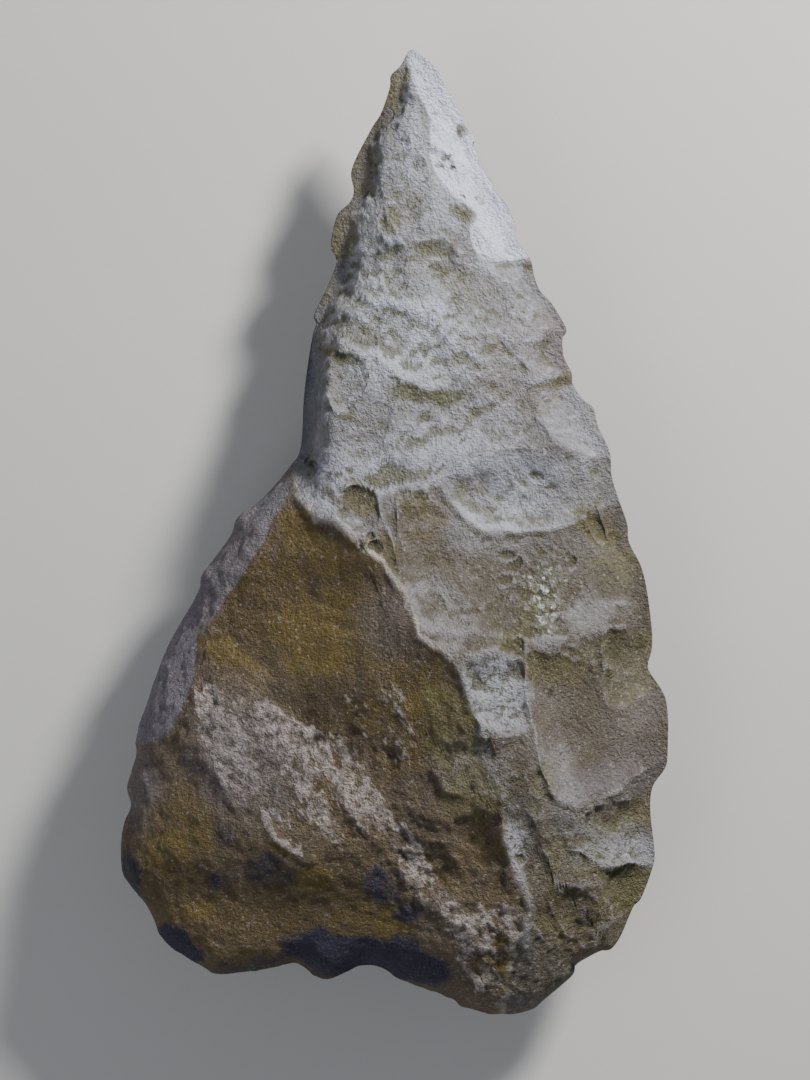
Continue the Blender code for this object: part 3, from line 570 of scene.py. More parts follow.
# Where each colour of the surface lies: the same kind of places
TINTS = {
    "pale": (
        (446, 250, 130, 230, 0, 1.0), (620, 850, 50, 18, 0, 0.45), (494, 690, 34, 34, 0, 0.3),
        (548, 600, 24, 36, 20, 0.35), (350, 440, 60, 70, 0, 0.85), (512, 850, 14, 40, 0, 0.45),
        (595, 822, 40, 10, 0, 0.25), (520, 472, 60, 20, 0, 0.55),
    ),
    "white": (
        (460, 150, 40, 90, 24, 0.35), (500, 250, 26, 40, 24, 0.4), (410, 130, 12, 40, 0, 0.5),
        (400, 330, 80, 60, 30, 0.5), (380, 315, 60, 20, -38, 0.2), (430, 450, 90, 30, -10, 0.48),
        (318, 512, 34, 18, 35, 0.9), (352, 530, 24, 14, 30, 0.8), (430, 615, 40, 30, 45, 0.65),
        (480, 530, 60, 22, 15, 0.55), (494, 690, 38, 38, 0, 0.75), (544, 588, 18, 16, 20, 0.75),
        (552, 618, 14, 20, 0, 0.55), (440, 620, 30, 26, 45, 0.5), (480, 770, 26, 30, 0, 0.45),
        (556, 770, 20, 40, -35, 0.55), (512, 850, 14, 40, 0, 0.7), (500, 920, 34, 40, 0, 0.5),
        (620, 850, 46, 20, 0, 0.45), (595, 824, 40, 8, 0, 0.35), (592, 616, 26, 16, 0, 0.45),
        # The first two places on this line lighten the floor of the edge_third scar: painted light
        (500, 505, 50, 24, 0, 0.5), (520, 470, 44, 10, 0, 0.45), (470, 760, 30, 34, 0, 0.35),
    ),
    "lilac": (
        (140, 780, 20, 44, 0, 0.45), (305, 400, 16, 90, 0, 0.8), (250, 760, 50, 60, -25, 0.45),
        (450, 460, 110, 40, 0, 0.3), (640, 720, 40, 60, 0, 0.12), (590, 790, 70, 26, -20, 0.4),
        (400, 620, 40, 40, 40, 0.3),
    ),
    # Painted shade: dark olive-brown spots under ridges and on the sides of scars that face away from the
    # light
    "painted_shade": (
        (360, 493, 14, 8, 0, 0.9), (415, 491, 16, 5, 5, 0.9), (590, 510, 6, 6, 0, 0.8),
        (616, 535, 10, 5, 10, 0.8), (596, 646, 5, 4, 0, 0.9), (512, 641, 8, 7, 0, 0.9),
        (484, 656, 18, 4, -8, 0.7), (616, 638, 10, 8, 0, 0.9), (616, 620, 10, 4, 0, 0.6),
        (638, 646, 13, 7, 0, 0.8), (612, 654, 6, 5, 0, 0.8), (556, 651, 30, 7, 8, 0.6),
        (625, 786, 24, 5, -30, 0.8), (655, 773, 7, 9, 0, 0.8), (618, 872, 26, 7, 0, 0.8),
        (562, 893, 14, 6, 0, 0.8), (570, 840, 6, 12, -30, 0.6), (340, 354, 12, 6, 0, 0.9),
        (432, 397, 24, 4, 5, 0.7), (463, 212, 9, 6, 0, 0.9), (528, 268, 8, 5, 0, 0.8),
        (560, 380, 16, 4, 0, 0.8), (464, 136, 4, 5, 0, 0.9), (355, 419, 14, 4, 10, 0.7),
        (546, 598, 7, 12, 20, 0.6),
    ),
    "slate": ((308, 390, 12, 90, 2, 1.0), (296, 462, 12, 16, 30, 0.9), (272, 500, 12, 26, 45, 0.5)),
    "rose": (
        (540, 350, 46, 40, 0, 0.75), (520, 380, 40, 40, 0, 0.45), (640, 740, 36, 40, 0, 0.5),
        (560, 730, 50, 60, 0, 0.15), (515, 860, 26, 26, 0, 0.6), (260, 700, 70, 40, 0, 0.35),
    ),
    # The stone's olive tone, and at many of these places painted shade under ridges and on the shaded sides of
    # scars
    "olive_and_shade": (
        (400, 76, 10, 12, 0, 0.8), (394, 98, 12, 16, 0, 0.7), (366, 160, 14, 26, 0, 0.5),
        (346, 235, 14, 24, 0, 0.6), (390, 220, 12, 14, 0, 0.8), (412, 200, 12, 10, 0, 0.6),
        (463, 215, 12, 8, 0, 1.0), (465, 136, 6, 7, 0, 1.0), (432, 252, 30, 20, 20, 0.55),
        (470, 285, 40, 24, 30, 0.45), (340, 353, 14, 9, 0, 1.0), (528, 268, 12, 8, 10, 0.9),
        (432, 396, 40, 8, 5, 0.75), (560, 380, 20, 8, 0, 0.8), (350, 300, 26, 20, 0, 0.45),
        (470, 464, 40, 8, -15, 0.35), (512, 476, 8, 14, -20, 0.35), (362, 496, 18, 18, 0, 0.9),
        (410, 500, 22, 26, 0, 0.55), (380, 470, 20, 10, 0, 0.4), (592, 520, 12, 18, -20, 1.0),
        (610, 535, 14, 10, -20, 0.9), (540, 605, 24, 40, 20, 0.65), (510, 640, 12, 12, 0, 0.9),
        (620, 570, 40, 24, 0, 0.5), (560, 665, 50, 24, 10, 0.6), (630, 670, 26, 40, 0, 0.75),
        (600, 690, 30, 40, 0, 0.35), (450, 720, 36, 50, 0, 0.75), (470, 790, 30, 26, 0, 0.9),
        (540, 790, 20, 50, 0, 0.55), (610, 810, 50, 20, 0, 0.7), (575, 850, 40, 30, 0, 0.55),
        (620, 885, 34, 26, 0, 0.75), (548, 905, 30, 40, 0, 0.45),
    ),
    "ochre": (
        # The third place on this line lightens the crust just below the crest: painted light
        (300, 575, 70, 60, 20, 0.5), (232, 652, 34, 14, 20, 0.75), (303, 528, 20, 24, 0, 0.8),
        (330, 640, 60, 40, 0, 0.65), (400, 700, 50, 80, 0, 0.45), (180, 820, 44, 50, 0, 0.55),
        (315, 873, 20, 11, 0, 2.0), (394, 916, 20, 20, 0, 1.8), (282, 846, 14, 8, 0, 0.9),
        (200, 905, 22, 12, 0, 0.7), (230, 885, 24, 10, -20, 0.6), (448, 870, 30, 16, 0, 0.5),
        (350, 910, 40, 30, 0, 0.4), (170, 920, 30, 20, 30, 0.5), (545, 990, 24, 14, 0, 0.5),
        (345, 560, 40, 30, 0, 0.5), (560, 920, 30, 26, 0, 0.45), (478, 840, 30, 36, 0, 0.4),
        (500, 960, 40, 30, 0, 0.7),
    ),
    "umber": (
        (300, 600, 90, 70, 0, 0.65), (400, 690, 50, 90, -10, 0.75), (340, 700, 60, 50, 0, 0.6),
        (415, 800, 36, 50, -30, 0.45), (300, 900, 120, 50, 0, 0.65), (380, 550, 16, 16, 0, 0.9),
        # The second place on this line darkens the top left of the great_middle scar: painted shade
        (590, 930, 40, 40, 0, 0.7), (425, 520, 30, 30, 30, 0.6), (560, 668, 40, 22, 5, 0.5),
        (620, 890, 30, 24, 0, 0.45), (200, 860, 80, 80, 0, 0.5),
    ),
    "crystal": ((541, 586, 15, 20, 20, 1.0), (549, 618, 10, 16, 0, 0.7), (528, 578, 8, 8, 0, 0.6)),
    "stain": (
        (345, 950, 64, 26, 0, 1.0), (418, 966, 36, 18, 10, 0.8), (178, 945, 26, 18, 20, 1.0),
        (250, 870, 56, 26, -10, 0.45), (380, 880, 20, 26, -35, 0.55), (225, 825, 18, 30, -20, 0.35),
        (410, 905, 20, 14, 0, 0.6), (130, 880, 14, 50, 0, 0.6), (250, 965, 80, 12, 0, 0.45),
    ),
}

# Scars that have a tint of their own up to their borders
SCAR_TINTS = {
    "pale": {
        "great_middle": 0.06,
        "great_lower": 0.0,
        "edge_fourth": 0.05,
        "edge_third": 0.8,
        "rough_facet": 0.35,
        "edge_second": 1.0,
        "notch_bowl": 0.3,
        "pale_facet": 0.9,
        "edge_sixth": 0.0,
    },
    # Olive on these scars is partly painted shade on their shaded sides
    "olive_and_shade": {"edge_sixth": 0.9, "edge_fourth": 0.55},
    "umber": {"butt_hollow": 0.9},
}


def with_areas(value, moved, areas, crispness=6.0):
    """The same value, but with each area's own inside its border."""
    for middle, there, corners in areas:
        inside = np.clip(scar_depth(*moved, middle, 1.0, corners) * crispness, 0, 1)
        value = value + (there - value) * inside
    return value


def tinted_scars(name, value, moved):
    """The same value with the scars that have a tint of their own."""
    areas = []
    for scar, there in SCAR_TINTS.get(name, {}).items():
        deepest, _, corners = UPPER_SCARS[scar]
        areas.append((deepest, there, corners))
    return with_areas(value, moved, areas)


def closed_curve(points, steps):
    """A smooth closed line through the points, with that many samples from each point to the next."""
    before, here = np.roll(points, 1, axis=0), points
    after, later = np.roll(points, -1, axis=0), np.roll(points, -2, axis=0)
    samples = []
    for step in range(steps):
        t = step / steps
        samples.append(
            0.5
            * (
                2 * here
                + (after - before) * t
                + (2 * before - 5 * here + 4 * after - later) * t**2
                + (3 * here - before - 3 * after + later) * t**3
            )
        )
    return np.stack(samples, axis=1).reshape(-1, points.shape[1])


def evenly_along(line, shares):
    """Points at those shares of a closed line's length."""
    ends = np.vstack([line, line[:1]])
    travelled = np.concatenate([[0], np.cumsum(np.linalg.norm(np.diff(ends, axis=0), axis=1))])
    wanted = shares % 1.0 * travelled[-1]
    return np.stack([np.interp(wanted, travelled, ends[:, axis]) for axis in (0, 1)], axis=1)


def through(stations, y):
    """Each column of the stations at y, on a smooth line that doesn't overshoot them."""
    at = stations[:, 0]
    gap = np.diff(at)
    rise = np.diff(stations[:, 1:], axis=0) / gap[:, None]
    slope = np.zeros_like(stations[:, 1:])
    both, total = rise[1:] * rise[:-1], rise[1:] + rise[:-1]
    slope[1:-1] = np.where(both > 0, 2 * both / np.where(both > 0, total, 1), 0)
    y = np.clip(y, at[0], at[-1])
    i = np.clip(np.searchsorted(at, y, side="right") - 1, 0, len(at) - 2)
    t = ((y - at[i]) / gap[i])[:, None]
    low, high, width = stations[i, 1:], stations[i + 1, 1:], gap[i][:, None]
    return (
        low * (1 + 2 * t) * (1 - t) ** 2
        + high * t**2 * (3 - 2 * t)
        + (slope[i] * t * (1 - t) ** 2 + slope[i + 1] * t**2 * (t - 1)) * width
    ).T


def softer_of(a, b, crispness):
    """The smaller of two heights, rounded where they meet: the crisper, the sharper."""
    a, b = np.maximum(a, 1e-9), np.maximum(b, 1e-9)
    low, high = np.minimum(a, b), np.maximum(a, b)
    return low * (1 + (low / high) ** crispness) ** (-1 / crispness)


def scar_depth(x, y, deepest, depth, corners):
    """How deep one flake scar lies below the face: deepest at one point, and nothing on its border."""
    corners = np.array(corners, float)
    sides = np.roll(corners, -1, axis=0) - corners
    outward = np.stack([sides[:, 1], -sides[:, 0]], axis=1)
    reach = ((corners - deepest) * outward).sum(axis=1)
    outward *= np.sign(reach)[:, None]
    reach = np.abs(reach)
    total = np.zeros_like(x)
    for (nx, ny), distance in zip(outward, reach):
        share = ((x - deepest[0]) * nx + (y - deepest[1]) * ny) / distance
        total += np.maximum(share, 0) ** BORDER_CRISPNESS
    share = total ** (1 / BORDER_CRISPNESS)
    return depth * np.maximum(1 - share**2, 0)


def upper_loft(x, y, right_x):
    """The upper face before any flake: a trough on the left, a crest, and a long slope to the right edge."""
    columns = through(np.array(SECTIONS, float), y)
    shoulder_x, shoulder, trough_x, trough, crest_x, crest, foot, fall = columns
    to_foot = np.clip((x - crest_x) / np.maximum(right_x - crest_x, 1), 0, PAST_RIGHT_EDGE)
    right = crest + (foot - crest) * to_foot**RIGHT_BULGE
    to_crest = np.clip((x - trough_x) / (crest_x - trough_x), 0, 1)
    to_shoulder = np.clip((trough_x - x) / (trough_x - shoulder_x), 0, 1)
    left = trough + (crest - trough) * to_crest**LEFT_HOLLOW
    left += (shoulder - trough) * to_shoulder**SHOULDER_HOLLOW
    left -= fall * np.maximum(shoulder_x - x, 0) / 100
    return np.where(x > crest_x, right, left)


def lumps(x, y, size, seed):
    """A soft unevenness from -1 to 1, with lumps of about that many drawing units."""
    return np.array([noise.noise(Vector((a / size, b / size, seed))) for a, b in zip(x, y)])


class Drawing:
    """The drawing's edge, its bevels, and its scale to the real stone."""

    def __init__(self):
        self.corners = np.array([point for stretch in STRETCHES for point in stretch[0]], float)
        lengths = [len(stretch[0]) for stretch in STRETCHES]
        self.bevels = np.repeat([stretch[1:] for stretch in STRETCHES], lengths, axis=0)
        self.line = closed_curve(self.corners, STEPS_BETWEEN_POINTS)
        self.low, self.high = self.line.min(axis=0), self.line.max(axis=0)
        self.unit = LENGTH / (self.high[1] - self.low[1])
        samples = evenly_along(self.line, np.arange(4 * len(self.line)) / (4 * len(self.line)))
        self.tree = kdtree.KDTree(len(samples))
        for i, (x, y) in enumerate(samples):
            self.tree.insert((x, y, 0), i)
        self.tree.balance()
        right = self.corners[: len(BLADE_RIGHT) + len(BUTT_RIGHT)]
        self.right_y = np.arange(right[0, 1], right[-1, 1])
        order = np.argsort(right[:, 1])
        self.right_x = np.interp(self.right_y, right[order, 1], right[order, 0])
        slow = np.pad(self.right_x, RIGHT_EDGE_BLEND, mode="reflect", reflect_type="odd")
        window = np.hanning(2 * RIGHT_EDGE_BLEND + 1)
        self.right_x = np.convolve(slow, window / window.sum(), mode="valid")

    def plan(self, x, y):
        """Metres along X and Y of a place in the drawing."""
        middle = (self.low + self.high) / 2
        size = self.high - self.low
        return (x - middle[0]) * WIDTH / size[0], (middle[1] - y) * LENGTH / size[1]

    def to_edge(self, x, y):
        """The distance to the edge in metres, a mean over places around, so that notches fade inwards."""
        near = np.array([self.tree.find((a, b, 0))[2] for a, b in zip(x, y)])
        total = near.copy()
        away = EDGE_LOOK_SHARE * near
        for turn in np.arange(EDGE_LOOKS) * (2 * math.pi / EDGE_LOOKS):
            a, b = x + away * math.cos(turn), y + away * math.sin(turn)
            total += np.array([self.tree.find((u, v, 0))[2] for u, v in zip(a, b)])
        return total / (EDGE_LOOKS + 1) * self.unit

    def bevel(self, x, y):
        """The slope, radius and crispness of the bevel, blended from the nearest parts of the edge."""
        total, weights = np.zeros((len(x), 3)), np.zeros((len(x), 1))
        for corner, bevel in zip(self.corners, self.bevels):
            apart = (x - corner[0]) ** 2 + (y - corner[1]) ** 2 + EDGE_BLEND**2
            weight = (1 / apart**2)[:, None]
            total += weight * bevel
            weights += weight
        return (total / weights).T

    def right_edge(self, y):
        """The drawing's right edge at that height, without its notches."""
        return np.interp(y, self.right_y, self.right_x)


def edge_height(x, y):
    """The edge isn't level: it sways a little above and below its plane."""
    return EDGE_SWAY * (np.sin(y / 61 + 0.6) * 0.6 + np.sin(y / 23 + x / 90) * 0.4)


def rounded_part(radius):
    """How far the edge is a cobble's round one and not a knapped one, from 0 to 1."""
    return np.clip(radius / ROUND_EDGE, 0, 1)


def struck_along(drawing, x, y, count, reach, width, depth, seed):
    """How deep a row of flakes that were struck off round the edge leave the face."""
    starts = (np.arange(count) + seed % 1) / count
    edge = evenly_along(drawing.line, starts)
    ahead = evenly_along(drawing.line, starts + FLAKE_AHEAD)
    deepest = np.zeros_like(x)
    for i, ((ex, ey), (ax, ay)) in enumerate(zip(edge, ahead)):
        vary = [noise.noise(Vector((i * FLAKE_STEP, seed, k * TRAIT_STEP))) for k in range(4)]
        turn = math.atan2(ay - ey, ax - ex) + math.pi / 2 + vary[0] * 1.1
        size = 1 + 0.9 * vary[1]
        across = ((x - ex) * -math.sin(turn) + (y - ey) * math.cos(turn)) * drawing.unit
        inward = ((x - ex) * math.cos(turn) + (y - ey) * math.sin(turn)) * drawing.unit
        out_of = (inward / (reach * size)) ** 2 + (across / (width * size * (1 + 0.4 * vary[2]))) ** 2
        deepest = np.maximum(deepest, depth * size * (1 + 0.5 * vary[3]) * (1 - out_of))
    return deepest


def wandered(x, y):
    """Places moved a little aside, so that the borders of scars wander."""
    aside = lumps(x, y, WANDER_SPAN, 3.5) + 0.4 * lumps(x, y, WANDER_FINE_SPAN, 6.5)
    above = lumps(x, y, WANDER_SPAN, 12.5) + 0.4 * lumps(x, y, WANDER_FINE_SPAN, 17.5)
    return x + BORDER_WANDER * aside, y + BORDER_WANDER * above


def upper_face(drawing, x, y):
    """Height of the upper face above the edge, in metres."""
    distance = drawing.to_edge(x, y)
    slope, radius, crisp = drawing.bevel(x, y)
    cobble = rounded_part(radius)
    loft = upper_loft(x, y, drawing.right_edge(y)) * UPPER_RISE
    loft += CORTEX_LUMP * cobble * (lumps(x, y, LUMP_SPAN, 1.5) + 0.5 * lumps(x, y, LUMP_FINE_SPAN, 8.5))
    height = softer_of(loft, np.sqrt((slope * distance) ** 2 + 2 * radius * distance), crisp)
    cut = np.zeros_like(x)
    moved = wandered(x, y)
    for deepest, depth, corners in UPPER_SCARS.values():
        cut += scar_depth(*moved, deepest, depth * SCAR_DEPTH, corners)
    retouch = struck_along(drawing, x, y, RETOUCH, RETOUCH_REACH, RETOUCH_WIDTH, RETOUCH_DEPTH, 2.3)
    cut += retouch * (1 - cobble)
    return height - softer_of(cut, height * MOST_CUT, CUT_CRISPNESS)


def under_face(drawing, x, y):
    """Depth of the underside below the edge, in metres, before the stone is flattened where it rests."""
    distance = drawing.to_edge(x, y)
    _, radius, _ = drawing.bevel(x, y)
    cobble = rounded_part(radius)
    across = (x - UNDER_CROWN[0]) / UNDER_REACH_ACROSS
    along = (y - UNDER_CROWN[1]) / np.where(y < UNDER_CROWN[1], UNDER_REACH_TO_TIP, UNDER_REACH_TO_BUTT)
    dome = UNDER_DROP * UNDER_BULGE * np.maximum(1 - across**2 - along**2, LEAST_DOME)
    uneven = lumps(x, y, LUMP_SPAN, 21.5) + 0.5 * lumps(x, y, LUMP_FINE_SPAN, 28.5)
    dome += CORTEX_LUMP * uneven * np.clip(distance / ROUND_EDGE, 0, 1)
    bevel = np.sqrt((UNDER_BEVEL * distance) ** 2 + 2 * radius * distance)
    height = softer_of(dome, bevel, UNDER_CRISPNESS)
    flakes = struck_along(
        drawing, x, y, UNDER_FLAKES, UNDER_FLAKE_REACH, UNDER_FLAKE_WIDTH, UNDER_FLAKE_DEPTH, 7.6
    )
    retouch = struck_along(drawing, x, y, RETOUCH, RETOUCH_REACH, RETOUCH_WIDTH, RETOUCH_DEPTH, 4.8)
    cut = flakes * (1 - 0.7 * cobble) + retouch * (1 - cobble)
    return height - softer_of(cut, height * MOST_CUT, CUT_CRISPNESS)


def placed(drawing, ball):
    """Where in the drawing each corner of a ball goes: its equator to the edge, its poles to the butt."""
    around = -np.arctan2(ball[:, 1], ball[:, 0]) / (2 * math.pi)
    rim = evenly_along(drawing.line, around)
    nearby = np.linspace(-EVENED_SHARE, EVENED_SHARE, EVENED_SAMPLES)
    weights = np.hanning(EVENED_SAMPLES + 2)[1:-1]
    evened = np.zeros_like(rim)
    for step, weight in zip(nearby, weights / weights.sum()):
        evened += weight * evenly_along(drawing.line, around + step)
    height = np.abs(ball[:, 2])
    even = 1 - RIM_BUNCHING * rounded_part(drawing.bevel(*rim.T)[1])
    share = np.sqrt(np.clip(1 - even * height - (1 - even) * height**2, 0, 1))[:, None]
    rim = evened + (rim - evened) * share**NOTCH_REACH
    spine_y, spine_x = np.array(SPINE, float).T
    middle_y = np.interp(rim[:, 1], (TIP_Y, spine_y[-1]), (spine_y[0], spine_y[-1]))
    middle = np.stack([np.interp(middle_y, spine_y, spine_x), middle_y], axis=1)
    centre = np.array((spine_x[-1], spine_y[-1]))
    return (centre + share * (2 - share) * (middle - centre) + share * (rim - middle)).T


def painted(x, y, start, places):
    """A value over the drawing: the start, and at each place its own, fading to what was there before."""
    value = np.full(len(x), float(start))
    for px, py, across, along, turn, there in places:
        cos, sin = math.cos(math.radians(turn)), math.sin(math.radians(turn))
        u = ((x - px) * cos + (y - py) * sin) / across
        v = (-(x - px) * sin + (y - py) * cos) / along
        share = np.clip(1.5 - np.hypot(u, v), 0, 1)
        share = share * share * (3 - 2 * share)
        value += (there - value) * share
    return value


def to_line(line, x, y):
    """The distance to an open line, its side there, and the share gone along it.

    The side is plus on the right of the line's way.
    """
    best, side, gone = np.full(len(x), 1e9), np.ones(len(x)), np.zeros(len(x))
    lengths = [math.dist(start, end) for start, end in zip(line[:-1], line[1:])]
    for i, ((ax, ay), (bx, by)) in enumerate(zip(line[:-1], line[1:])):
        dx, dy = bx - ax, by - ay
        t = np.clip(((x - ax) * dx + (y - ay) * dy) / (dx * dx + dy * dy), 0, 1)
        gap = np.hypot(x - ax - t * dx, y - ay - t * dy)
        closer = gap < best
        best = np.where(closer, gap, best)
        side = np.where(closer, -np.sign((x - ax) * dy - (y - ay) * dx), side)
        gone = np.where(closer, (sum(lengths[:i]) + t * lengths[i]) / sum(lengths), gone)
    return best, side, gone


def raised(x, y):
    """How far the ridges and steps stand above the face."""
    total = np.zeros_like(x)
    for rise, left, right, line in RIDGES:
        (west, north), (east, south), reach = np.min(line, axis=0), np.max(line, axis=0), max(left, right)
        near = (x > west - reach) & (x < east + reach) & (y > north - reach) & (y < south + reach)
        gap, side, gone = to_line(line, x[near], y[near])
        gap = np.hypot(gap, RIDGE_ROUND) - RIDGE_ROUND
        flank = np.clip(1 - gap / np.where(side > 0, right, left), 0, 1) ** 1.5
        total[near] += rise * RIDGE_UNIT * flank * np.clip(5 * np.minimum(gone, 1 - gone), 0, 1)
    return total


def scooped(x, y, size, seed):
    """Shallow bowls with sharp ridges between them: 0 in their middles, up to 1 on the ridges."""
    cells = 64
    scatter = np.random.RandomState(seed).rand(cells, cells, 2)
    column, row = np.floor(x / size).astype(int), np.floor(y / size).astype(int)
    nearest = np.ones(len(x))
    for i in (-1, 0, 1):
        for j in (-1, 0, 1):
            spot = scatter[(column + i) % cells, (row + j) % cells]
            apart = (x / size - column - i - spot[:, 0]) ** 2 + (y / size - row - j - spot[:, 1]) ** 2
            nearest = np.minimum(nearest, apart)
    return nearest


def ridged(places, size, seed, octaves):
    """Broken, uneven relief from -1 to 1 at points in metres, whose lumps are about that size in metres."""
    shift = Vector((seed, seed * 1.7, seed * 0.6))
    return np.array([noise.fractal(Vector(p) / size + shift, 0.9, 2.1, octaves) for p in places])


def added(name, data):
    """A new object of that name in the scene."""
    made = bpy.data.objects.new(name, data)
    bpy.context.scene.collection.objects.link(made)
    return made


def stone_ball():
    """A ball of triangles, finer above its equator than below, with a ring of edges round the equator."""
    bm = bmesh.new()
    bmesh.ops.create_icosphere(bm, subdivisions=6, radius=1.0)
    for lowest in (-0.6, -1e-4):
        inside = [edge for edge in bm.edges if min(vert.co.z for vert in edge.verts) > lowest]
        bmesh.ops.subdivide_edges(bm, edges=inside, cuts=1, use_grid_fill=True)
        for vert in bm.verts:
            vert.co.normalize()
    bmesh.ops.triangulate(bm, faces=[face for face in bm.faces if len(face.verts) > 3])
    return bm


def move_to(mesh, places):
    """Moves the mesh's corners to the places."""
    mesh.vertices.foreach_set("co", places.ravel())
    mesh.update()


def normals_of(mesh):
    """The direction in which the mesh faces at each corner."""
    normals = np.empty(len(mesh.vertices) * 3)
    mesh.vertices.foreach_get("normal", normals)
    return normals.reshape(-1, 3)


def spread_out(values, ends, times):
    """Values at the corners of a mesh, smoothed along its edges."""
    count = np.bincount(ends.ravel(), minlength=len(values))
    for _ in range(times):
        total = np.bincount(ends[:, 0], values[ends[:, 1]], len(values))
        total += np.bincount(ends[:, 1], values[ends[:, 0]], len(values))
        values = 0.5 * values + 0.5 * total / count
    return values


def drifted(x, y, *drifts):
    """The places, moved aside and up or down by each of the drifts."""
    moved_x, moved_y = x, y
    for far, span, seed in drifts:
        moved_x = moved_x + far * lumps(x, y, span, seed)
        moved_y = moved_y + far * lumps(x, y, span, seed + SEED_STEP)
    return moved_x, moved_y


def on_left_blade(x, y):
    """Whether the places are on the left side of the blade."""
    return (x < LEFT_BLADE[0]) & (y < LEFT_BLADE[1])


def finest_scars(drawing, x, y, knapped):
    """How deep the smaller scars, the finest retouch and the pits lie below the solid's face."""
    moved_x, moved_y = drifted(x, y, SCAR_DRIFT)
    cut = np.zeros_like(x)
    for deepest, depth, corners in FINE_SCARS:
        cut += scar_depth(moved_x, moved_y, deepest, depth, corners)
    bold = np.where(on_left_blade(x, y), LEFT_RETOUCH, 1)
    for count, reach, width, depth, seed in FINE_RETOUCH:
        cut += struck_along(drawing, x, y, count, reach, width, depth, seed) * knapped * bold
    for px, py, across, along, depth in PITS:
        u, v = (moved_x - px) / across, (moved_y - py) / along
        cut += depth * np.clip(PIT_FLOOR - u**2 - v**2, 0, 1)
    return cut


def stone_height(drawing, x, y, distance, upper, under):
    """Height above the plane of the edge: the solid's form with the finest scars and the ridges."""
    edge = edge_height(x, y)
    knapped = 1 - rounded_part(drawing.bevel(x, y)[1])
    z = edge.copy()
    z[upper] += upper_face(drawing, x[upper], y[upper])
    z[under] -= under_face(drawing, x[under], y[under])
    cut = finest_scars(drawing, x[upper], y[upper], knapped[upper])
    z[upper] -= softer_of(cut, (z - edge)[upper] * MOST_FINE_CUT, CUT_CRISPNESS)
    ridges = raised(*drifted(x[upper], y[upper], RIDGE_DRIFT))
    z[upper] += ridges * np.clip(distance[upper] / RIDGE_START, 0, 1)
    return z


def crust_cover(tint_y, gap, side, shown):
    """Where the cobble's crust lies, from 0 to 1, by the gap to the crest and the side of it."""
    under = np.clip((tint_y - UNDER_CRUST_TOP) / UNDER_CRUST_SOFT, 0, 1)
    crust = np.where(shown, np.clip(0.5 + gap * side / CRUST_SOFT, 0, 1), under)
    return np.where(shown & (tint_y < CRUST_TOP), 0, crust)


def streaked(drawing, x, y, z, crust, shown):
    """How rough and pale the streaks make the crust, from 0 to 1."""
    metres_x, metres_y = drawing.plan(x, y)
    fall = math.radians(STREAK_FALL)
    along = (metres_x * math.cos(fall) - metres_y * math.sin(fall)) / STREAK_LENGTH
    across = metres_x * math.sin(fall) + metres_y * math.cos(fall)
    streaks = ridged(np.stack([along, across, z], axis=1), *STREAKS)
    streaks *= STREAK_SWING / streaks.std()
    covered = with_areas(np.zeros_like(x), wandered(x, y), ROUGH_AREAS, STREAK_CRISPNESS) * crust * shown
    return np.clip(covered + streaks, 0, 1) * np.clip(covered * 3, 0, 1)


def crest_highlight_and_wear(gap, tint_y, grain, shown):
    """How pale the crest is painted, from 0 to 1: partly wear, partly painted highlight."""
    parts = [np.clip((tint_y - top) / length, 0, most) for top, length, most in (RIM_UPPER, RIM_LOWER)]
    pale_on_crest = np.clip(RIM_PLATEAU - gap / RIM_REACH, 0, 1) * np.clip(grain + RIM_GRAIN, 0, 1)
    return pale_on_crest * shown * np.where(tint_y < RIM_SPLIT, *parts)


def hollow_parts(mesh, body, distance):
    """How hollow each corner lies among those around it, for each kind: 0.5 is level and 1 is deep."""
    ends = np.empty(len(mesh.edges) * 2, np.int32)
    mesh.edges.foreach_get("vertices", ends)
    ends = ends.reshape(-1, 2)
    normals = normals_of(mesh)
    inner = np.clip(distance / EDGE_CALM, 0, 1)
    parts = {}
    for name, (rounds, full) in HOLLOWS.items():
        around = np.stack([spread_out(body[:, axis], ends, rounds) for axis in range(3)], axis=1)
        below = ((around - body) * normals).sum(axis=1) * inner
        parts[name] = np.clip(below / full, -1, 1) * 0.5 + 0.5
    return parts


def tint_values(x, y, tint_x, tint_y, distance, shown):
    """How much of each tint there is, by its name."""
    turned_x = np.where(shown, tint_x, MIRRORED_X - tint_x)
    moved = wandered(x, y)
    values = {}
    for name, places in TINTS.items():
        value = painted(turned_x, tint_y, 0.0, places)
        value = with_areas(value, moved, TINT_AREAS.get(name, ()), TINT_CRISPNESS)
        # Along the blade's left edge the patina is painted darker near the edge: painted shade
        if name == "pale":
            value *= np.where(on_left_blade(x, y), np.clip(distance / RIM_SHADE_REACH, DARKEST_RIM_SHADE, 1), 1)
        values[name] = np.where(shown, tinted_scars(name, value, moved), UNDER_TINT * value)
    return values


